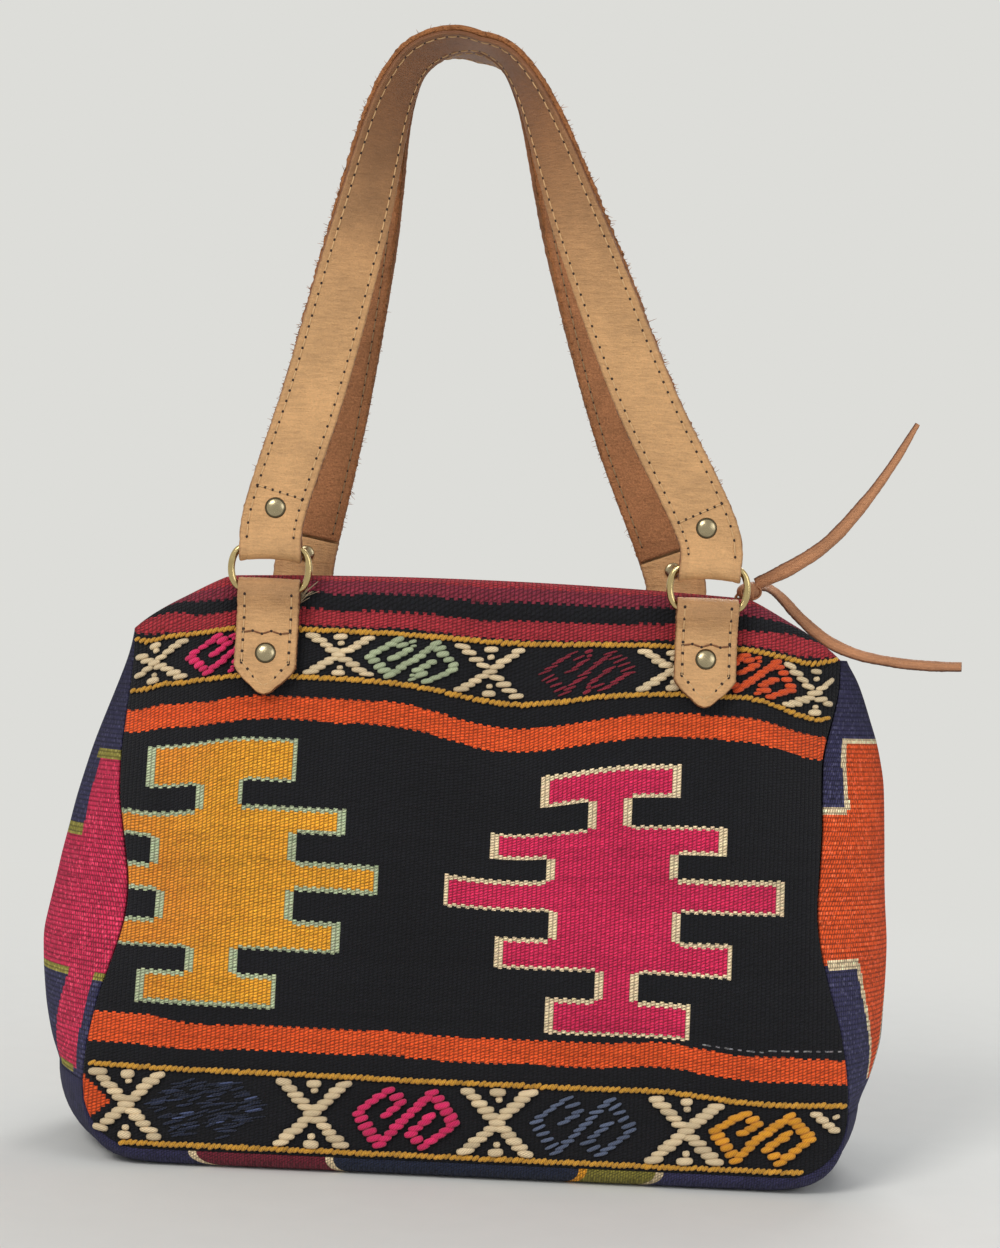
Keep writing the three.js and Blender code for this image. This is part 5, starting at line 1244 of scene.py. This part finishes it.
def strap(side_name, span_x, drop, mirrored):
    """A strap of two plies: the face folds round both rings, the lining lies between the folds"""
    line = strap_line(span_x / 2, drop)
    distance, length, wide, out = strap_frames(line)
    reach = np.minimum(distance, length - distance)
    body = f"{side_name}_handle"
    tail = np.where(distance <= STRAP_TAIL)[0]
    ends = []
    for pick in (tail, len(line) - 1 - tail):
        frames = [(line[k], wide[k], -out[k], reach[k]) for k in pick[::-1]]
        at = pick[0]
        for angle in np.pi * np.arange(1, FOLD_PARTS) / FOLD_PARTS:
            frames.append((line[at], wide[at], np.array([0, math.cos(angle), -math.sin(angle)]), 0.0))
        ends.append(frames)
    frames = ends[0] + list(zip(line, wide, out, reach)) + ends[1][::-1]
    *parts, away = (np.array(v) for v in zip(*frames))
    near = ply_opening(away)
    # Painted shade: the face turns darker up towards the apex, where it lies under the arch
    painted_shade = 0.85 * smooth(parts[0][:, 2], APEX_SHADE_FROM, APEX_SHADE_TO)
    outer = strip(f"{side_name}_strap_face", *parts, LEATHER_WIDTH / 2, near, near + STRAP_OUTER_PLY,
                  (STRAP_LEATHER, body, "strap_leather"), f"{side_name}_strap_outer",
                  tone=painted_shade, sink=FOLD_SINK * (1 - smooth(away, 0, FOLD_SINK_REACH)))
    pick = reach >= STRAP_TAIL + PLY_GAP
    inner = strip(f"{side_name}_strap_lining", line[pick], wide[pick], -out[pick], LEATHER_WIDTH / 2 - 0.2,
                  PLY_GAP / 2, PLY_GAP / 2 + STRAP_INNER_PLY, (SUEDE_LEATHER, body, "strap_lining_leather"),
                  f"{side_name}_strap_inner", 0.35)
    heap = Heap()
    at = np.arange(5, length - 5, STITCH_PITCH)

    def sample(values):
        return np.stack([np.interp(at, distance, values[:, k]) for k in range(3)], 1)

    points, sides, faces = sample(line), unit(sample(wide)), unit(sample(out))
    face = np.interp(at, distance, ply_opening(reach))[:, None] + STRAP_OUTER_PLY * 0.93
    inside = (at > STRAP_TAIL + 3) & (at < length - STRAP_TAIL - 3)
    for row in (-1, 1):
        offset = sides * row * ROW_HALF
        stitch_row(heap, points + offset + faces * face, faces, size=0.55)
        under = points + offset - faces * (PLY_GAP / 2 + STRAP_INNER_PLY * 0.98)
        # The lining's thread is the face's thread at half brightness: painted shade on the strap's inner side
        stitch_row(heap, under[inside], -faces[inside], thread=THREAD * 0.5, size=0.4)
    across = np.linspace(-1, 1, 7)[:, None] * ROW_HALF
    for place in (STRAP_TAIL - 1.0, length - STRAP_TAIL + 1.0):
        k = int(np.argmin(np.abs(distance - place)))
        level = PLY_GAP / 2 + STRAP_OUTER_PLY * 1.05
        stitch_row(heap, line[k] + wide[k] * across + out[k] * level, np.tile(out[k], (7, 1)))
    seams = heap.piece(f"{side_name}_strap_stitches", THREAD_YARN, body, "strap_leather")
    fibres = fuzz(f"{side_name}_strap_fibres", line, wide, out, body)
    for obj in (outer, inner, seams, fibres):
        turned(obj, mirrored)
    tangent = unit(np.gradient(line, axis=0))
    grip = 2 * STRAP_OUTER_PLY + PLY_GAP
    for hand, place in (("left", STRAP_RIVET_UP), ("right", length - STRAP_RIVET_UP)):
        k = int(np.argmin(np.abs(distance - place)))
        axis = out[k] - tangent[k] * (out[k] @ tangent[k])
        end = f"{side_name}_{hand}_strap"
        turned(rivet(f"{end}_stud", line[k], axis, grip, body, f"{end}_rivet"), mirrored)


# Radius and height of the cap above the leather, and of the back below it
RIVET_CAP = [
    (1.6, 0.0), (4.5, 0.0), (4.62, 0.08), (4.35, 0.3), (3.7, 0.86), (2.7, 1.36), (1.4, 1.66), (0, 1.75),
]
RIVET_BACK = [(0, 1.0), (2.4, 0.95), (3.6, 0.6), (3.8, 0), (1.6, 0)]
RIVET_SIDES = 32
RIVET_RIM = 4.3


def rivet(name, point, axis, grip, body, node):
    """A domed cap, a post through the leather and a flat clinched back"""
    profile = [(r, -grip / 2 - h) for r, h in RIVET_BACK] + [(r, grip / 2 + h) for r, h in RIVET_CAP]
    axis = unit(axis)
    side = unit(np.cross(axis, (1.0, 0.1, 0)))
    turn = circle(RIVET_SIDES)[:, None]
    spoke = np.cos(turn) * side + np.sin(turn) * np.cross(axis, side)
    rings = [point + axis * h + max(r, 0.02) * spoke for r, h in profile]
    radius = np.array(profile)[:, 0]
    shades = np.where(np.maximum(radius[:-1], radius[1:]) > RIVET_RIM, 0.3, 1.0)
    shades = np.append(np.repeat(shades, RIVET_SIDES), [1.0, 1.0])[:, None] * RIVET_PLATING
    faces = capped_faces(len(rings), RIVET_SIDES)
    return build(name, np.concatenate(rings), faces, RIVET_BRASS, body, "rivet_brass", [node], shades)


def ring(name, ring_x, drop, body, node):
    """A ring of round wire, near-straight where leather turns on it and bowed at its sides"""
    rise = RING_BAR_SPACING / 2
    centre = lower_bar(ring_x, drop) + (ring_x, 0, rise)
    bar = LEATHER_WIDTH / 2 - RING_BOW * math.sin(math.acos(1 - (LOOP_PLAY - RING_PLAY) / rise))
    turn = np.linspace(0, np.pi, 41)
    right_side = np.stack([bar + RING_BOW * np.sin(turn) ** 0.9, 0 * turn, rise * np.cos(turn)], 1)
    path = np.concatenate([right_side, right_side * (-1, 1, -1), right_side[:1]])
    path = resample(path, 0.9)[:-1]
    tangent = unit(np.roll(path, -1, 0) - np.roll(path, 1, 0))
    side = np.tile((0, 1.0, 0), (len(path), 1))
    heap = Heap()
    tube(heap, centre + path, side, np.cross(tangent, side), BAR_RADIUS, BAR_RADIUS, BRASS, 20, True)
    return heap.piece(name, RING_BRASS, body, "ring_brass", [node])


RIGHT_TAB_SHORTER = 3
RIGHT_RIVET_HIGHER = 6
TAB_RIVET_UP = 18
TAB_CROSS_UP = 27
# Heights over which the tab's folded top is painted darker: painted shade of the fold round the ring
TAB_FOLD_SHADE = (29, 46)
CLOTH_SAG = 0.6
TAB_STEP = 0.8


def tab_half(height, tip):
    """Half the width of a tab at a height above the line's start: pointed below its shoulders"""
    t = np.clip((height - tip) / TAB_TIP_DROP, 0, 1)
    root = (-0.9 + np.sqrt(0.81 + 0.4 * t)) / 0.2
    full = LEATHER_WIDTH / 2
    nose = np.sqrt(np.clip(9 * (height - tip), 0.12, 30))
    return np.maximum(2 * root * (1 - root) * 0.75 * full + root * root * full, nose)


def tab_bend(tip, top):
    """The line of a tab's leather, as distances out and up: up its front, round the ring and down its back"""
    radius = LOOP_INSIDE + TAB_PLY / 2
    front = TAB_PLY + PLY_GAP
    opening = 2 * radius - front
    path = [(front, tip), (front, top - TAB_PINCH), (front + opening * 0.3, top - TAB_PINCH * 0.6)]
    path += [(front + opening * 0.85, top - TAB_PINCH * 0.25)]
    path += [(radius + radius * math.cos(a), top + radius * math.sin(a)) for a in np.linspace(0, math.pi, 9)]
    path += [(0, top - TAB_PINCH), (0, tip)]
    flat = np.array([(d, h, 0.0) for d, h in path])
    parts = [resample(flat[:2], TAB_STEP), catmull(flat[1:-2], TAB_STEP)[1:], resample(flat[-3:], TAB_STEP)[1:]]
    return resample(np.concatenate(parts), TAB_STEP)


def cloth_behind(ring_x, height, start, rise, out):
    """How far out the cloth lies at a height up a tab"""
    along = np.linspace(0, FACE_LENGTH, 2000)
    offset = smooth_form(np.full_like(along, abs(ring_x)), along) * (0, 1, 1) - start
    return float(np.interp(height, offset @ rise, offset @ out))


def tab(side_name, hand, ring_x, drop, mirrored):
    """A tab with its stitches, its rivet and the ring it holds"""
    name = f"{side_name}_{hand}"
    start, rise, out = tab_line(ring_x, drop)
    right_hand = ring_x > 0
    tip = RIGHT_TAB_SHORTER if right_hand else 0
    top = TAB_LENGTH - TAB_PLY - LOOP_INSIDE
    bend = tab_bend(tip, top)
    tangent = unit(np.gradient(bend, axis=0))
    place = start + bend[:, :1] * out + bend[:, 1:2] * rise + (ring_x, 0, 0)
    facing = tangent[:, 1:2] * out - tangent[:, :1] * rise
    wide = np.tile((1.0, 0, 0), (len(bend), 1))
    # crease here is painted shade: the leather turns darker up the tab's folded top round the ring
    half, crease = tab_half(bend[:, 1], tip), 0.34 * smooth(bend[:, 1], *TAB_FOLD_SHADE)
    leather = strip(f"{name}_tab_leather", place, wide, facing, half, -TAB_PLY / 2, TAB_PLY / 2,
                    (STRAP_LEATHER, "bag", "strap_leather"), f"{name}_tab", tone=crease)
    rising = bend[: len(bend) // 2]

    def on_face(outline, lift):
        x, height = np.array(outline).T[..., None]
        depth = np.interp(height, rising[:, 1], rising[:, 0]) + TAB_PLY / 2 * lift
        return start + rise * height + out * depth + (ring_x + x) * (1, 0, 0)

    heap = Heap()
    heights = np.arange(tip + TAB_TIP_DROP + 1.5, top + 1, STITCH_PITCH)
    left = [(-ROW_HALF, h) for h in heights[::-1]]
    left += [(-ROW_HALF * s, tip + 3.4 + (TAB_TIP_DROP - 1.2) * s**1.25) for s in (1.0, 0.72, 0.46, 0.22, 0.02)]
    points = on_face(left + [(-x, h) for x, h in left[-2::-1]], 0.95)
    stitch_row(heap, points, np.tile(out, (len(points), 1)), size=0.68)
    wave = [(x, tip + TAB_CROSS_UP + 0.7 * math.sin(x * 0.9)) for x in np.linspace(-ROW_HALF, ROW_HALF, 6)]
    stitch_row(heap, on_face(wave, 1.1), np.tile(out, (len(wave), 1)), thread=DARK_THREAD, width=0.8)
    seams = heap.piece(f"{name}_tab_stitches", THREAD_YARN, "bag", "strap_leather")
    height = TAB_RIVET_UP + (RIGHT_RIVET_HIGHER if right_hand else 0)
    face = TAB_PLY + PLY_GAP + TAB_PLY / 2
    back = cloth_behind(ring_x, height, start, rise, out) - CLOTH - CLOTH_SAG
    middle = start + rise * height + out * (face + back) / 2 + (ring_x, 0, 0)
    stud = rivet(f"{name}_tab_stud", middle, out, face - back, "bag", f"{name}_tab_rivet")
    hoop = ring(f"{name}_hoop", ring_x, drop, f"{side_name}_rings", f"{name}_ring")
    for piece in (leather, seams, stud, hoop):
        turned(piece, mirrored)


for side_name, span_x, drop in (("front", FRONT_RING_SPAN, 0), ("back", BACK_RING_SPAN, BACK_TAB_DROP)):
    for side, hand in ((-1, "left"), (1, "right")):
        tab(side_name, hand, side * span_x / 2, drop, side_name == "back")
    strap(side_name, span_x, drop, side_name == "back")


# Zip

TAPE_SECTION = [(-1.4, -0.4), (-1.4, 0), (-10.6, 0), (-10.6, -0.8), (-1.4, -0.8)]
COIL_LOOP = [
    (0.0, -3.3, -1.2), (0.1, -3.2, 0.2), (0.25, -2.0, 0.55), (0.35, -1.0, 0.3),
    (0.35, -0.85, -0.6), (0.25, -1.6, -1.5), (0.1, -3.0, -1.5),
]
COIL_PITCH = 1.7


def ridge_drop(x):
    return CORNER_DROOP * float(corner_share(x / PANEL_HALF))


def zip_half(name, node, mirrored):
    """A twill tape with the half coil sewn along its edge"""
    heap = Heap()
    top = HEM_HEIGHT - CLOTH
    x = np.linspace(-ZIP_LENGTH / 2, ZIP_LENGTH / 2, ZIP_LENGTH + 1)
    points = np.array([[(v, y, top + z - ridge_drop(v)) for y, z in TAPE_SECTION] for v in x])
    heap.add(points, ring_faces(len(x), len(TAPE_SECTION)).tolist(), TWILL)
    curve = catmull(COIL_LOOP, 0.55)
    side = unit(np.cross(unit(np.gradient(curve, axis=0)), (1.0, 0, 0)))
    across = np.tile((1.0, 0, 0), (len(curve), 1))
    for v in np.arange(-ZIP_LENGTH / 2 + 2, ZIP_LENGTH / 2 - 2, COIL_PITCH):
        tube(heap, curve + (v, 0, top - 0.4 - ridge_drop(v)), across, side, 0.42, 0.36, COIL, 6)
    turned(heap.piece(name, TAPE, "bag", "zip_tape", [node]), mirrored)


zip_half("zip_half_front", "zip_tape_front", False)
zip_half("zip_half_back", "zip_tape_back", True)
for node in ("zip_slider", "zip_stop_left", "zip_stop_right"):
    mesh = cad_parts[node].data
    mesh.materials.clear()
    mesh.materials.append(ZIP_METAL)


# Loose fibres beside the front left tab


def frayed_tuft():
    heap = Heap()
    for k in range(11):
        root, normal = (v[0] for v in cloth_surface(np.array([-82.3]), np.array([237.0 + 0.25 * k])))
        lean = np.array([rng.uniform(2, 8), rng.uniform(-2.4, -0.6), rng.uniform(0.5, 7)])
        path = catmull([root + normal * 0.3, root + normal * 0.8 + lean * 0.5, root + normal * 0.6 + lean], 0.6)
        tangent = unit(np.gradient(path, axis=0))
        side = unit(np.cross(tangent, (0, 1.0, 0)))
        thin = np.linspace(0.22, 0.08, len(path))
        tube(heap, path, side, np.cross(side, tangent), thin, thin, FRAYED * rng.uniform(0.7, 1.1), 5)
    heap.piece("tab_frayed_fibres", THREAD_YARN, "bag", "strap_leather")


frayed_tuft()


# Floor, light and background

FLOOR_REACH = 6.0
FLOOR_SIDES = 96
LIGHT_AIM = (0, 0, 0.2)


def floor():
    """A pale floor that keeps the shadow near the bag and fades into the background"""
    mesh = bpy.data.meshes.new("floor")
    points = [(FLOOR_REACH * math.cos(a), FLOOR_REACH * math.sin(a), 0.0) for a in circle(FLOOR_SIDES)]
    mesh.from_pydata(points, [], [list(range(FLOOR_SIDES))])
    obj = add_object("floor", mesh)
    look = material_look("pale_floor", Roughness=0.9, Specular_IOR_Level=0.1)
    away = look.node("VectorMath", {0: look.node("TexCoord", {}, "Object")}, "Value", operation="LENGTH")
    near_to_far = {"From Min": 0.22, "From Max": 0.9, "Value": away}
    fade = look.node("MapRange", near_to_far, interpolation_type="SMOOTHSTEP")
    speck = look.span(look.noise(60, 3, 0.5), 0.98, 1.02)
    look.put(look.shader, {"Base Color": look.shade(BACKGROUND, speck)})
    glow = look.node("Emission", {"Color": (*BACKGROUND, 1)})
    mix = look.node("MixShader", {0: fade, 1: look.shader.outputs[0], 2: glow})
    look.put(look.tree.nodes["Material Output"], {"Surface": mix})
    mesh.materials.append(look.owner)


def background():
    """Soft light from all around, and the plain background where the camera sees past the floor"""
    world = bpy.data.worlds.new("studio")
    bpy.context.scene.world = world
    look = Look(world)
    light = look.tree.nodes["Background"]
    look.put(light, {"Color": (0.95, 0.97, 1.0, 1), "Strength": 0.5})
    shown = look.node("Background", {"Color": (*BACKGROUND, 1), "Strength": 1.0})
    rays = [look.node("LightPath", {}, f"Is {kind} Ray") for kind in ("Camera", "Glossy", "Transmission")]
    seen = look.math("MAXIMUM", rays[0], look.math("MAXIMUM", rays[1], rays[2]))
    mix = look.node("MixShader", {0: seen, 1: light.outputs[0], 2: shown})
    look.put(look.tree.nodes["World Output"], {"Surface": mix})


def lamp(name, place, size, power, colour):
    data = bpy.data.lights.new(name, "AREA")
    data.shape = "DISK"
    data.size = size
    data.energy = power
    data.color = colour
    obj = add_object(name, data)
    obj.location = place
    obj.rotation_euler = (Vector(LIGHT_AIM) - Vector(place)).to_track_quat("-Z", "Y").to_euler()


floor()
background()
lamp("key", (-0.9, -1.3, 1.5), 0.9, 20, (1.0, 0.98, 0.95))
lamp("fill", (1.5, -1.1, 0.8), 1.2, 7.5, (0.95, 0.97, 1.0))
lamp("rear", (0.5, 1.4, 1.5), 1.0, 14, (1.0, 1.0, 1.0))
bpy.context.scene.view_settings.view_transform = "Standard"
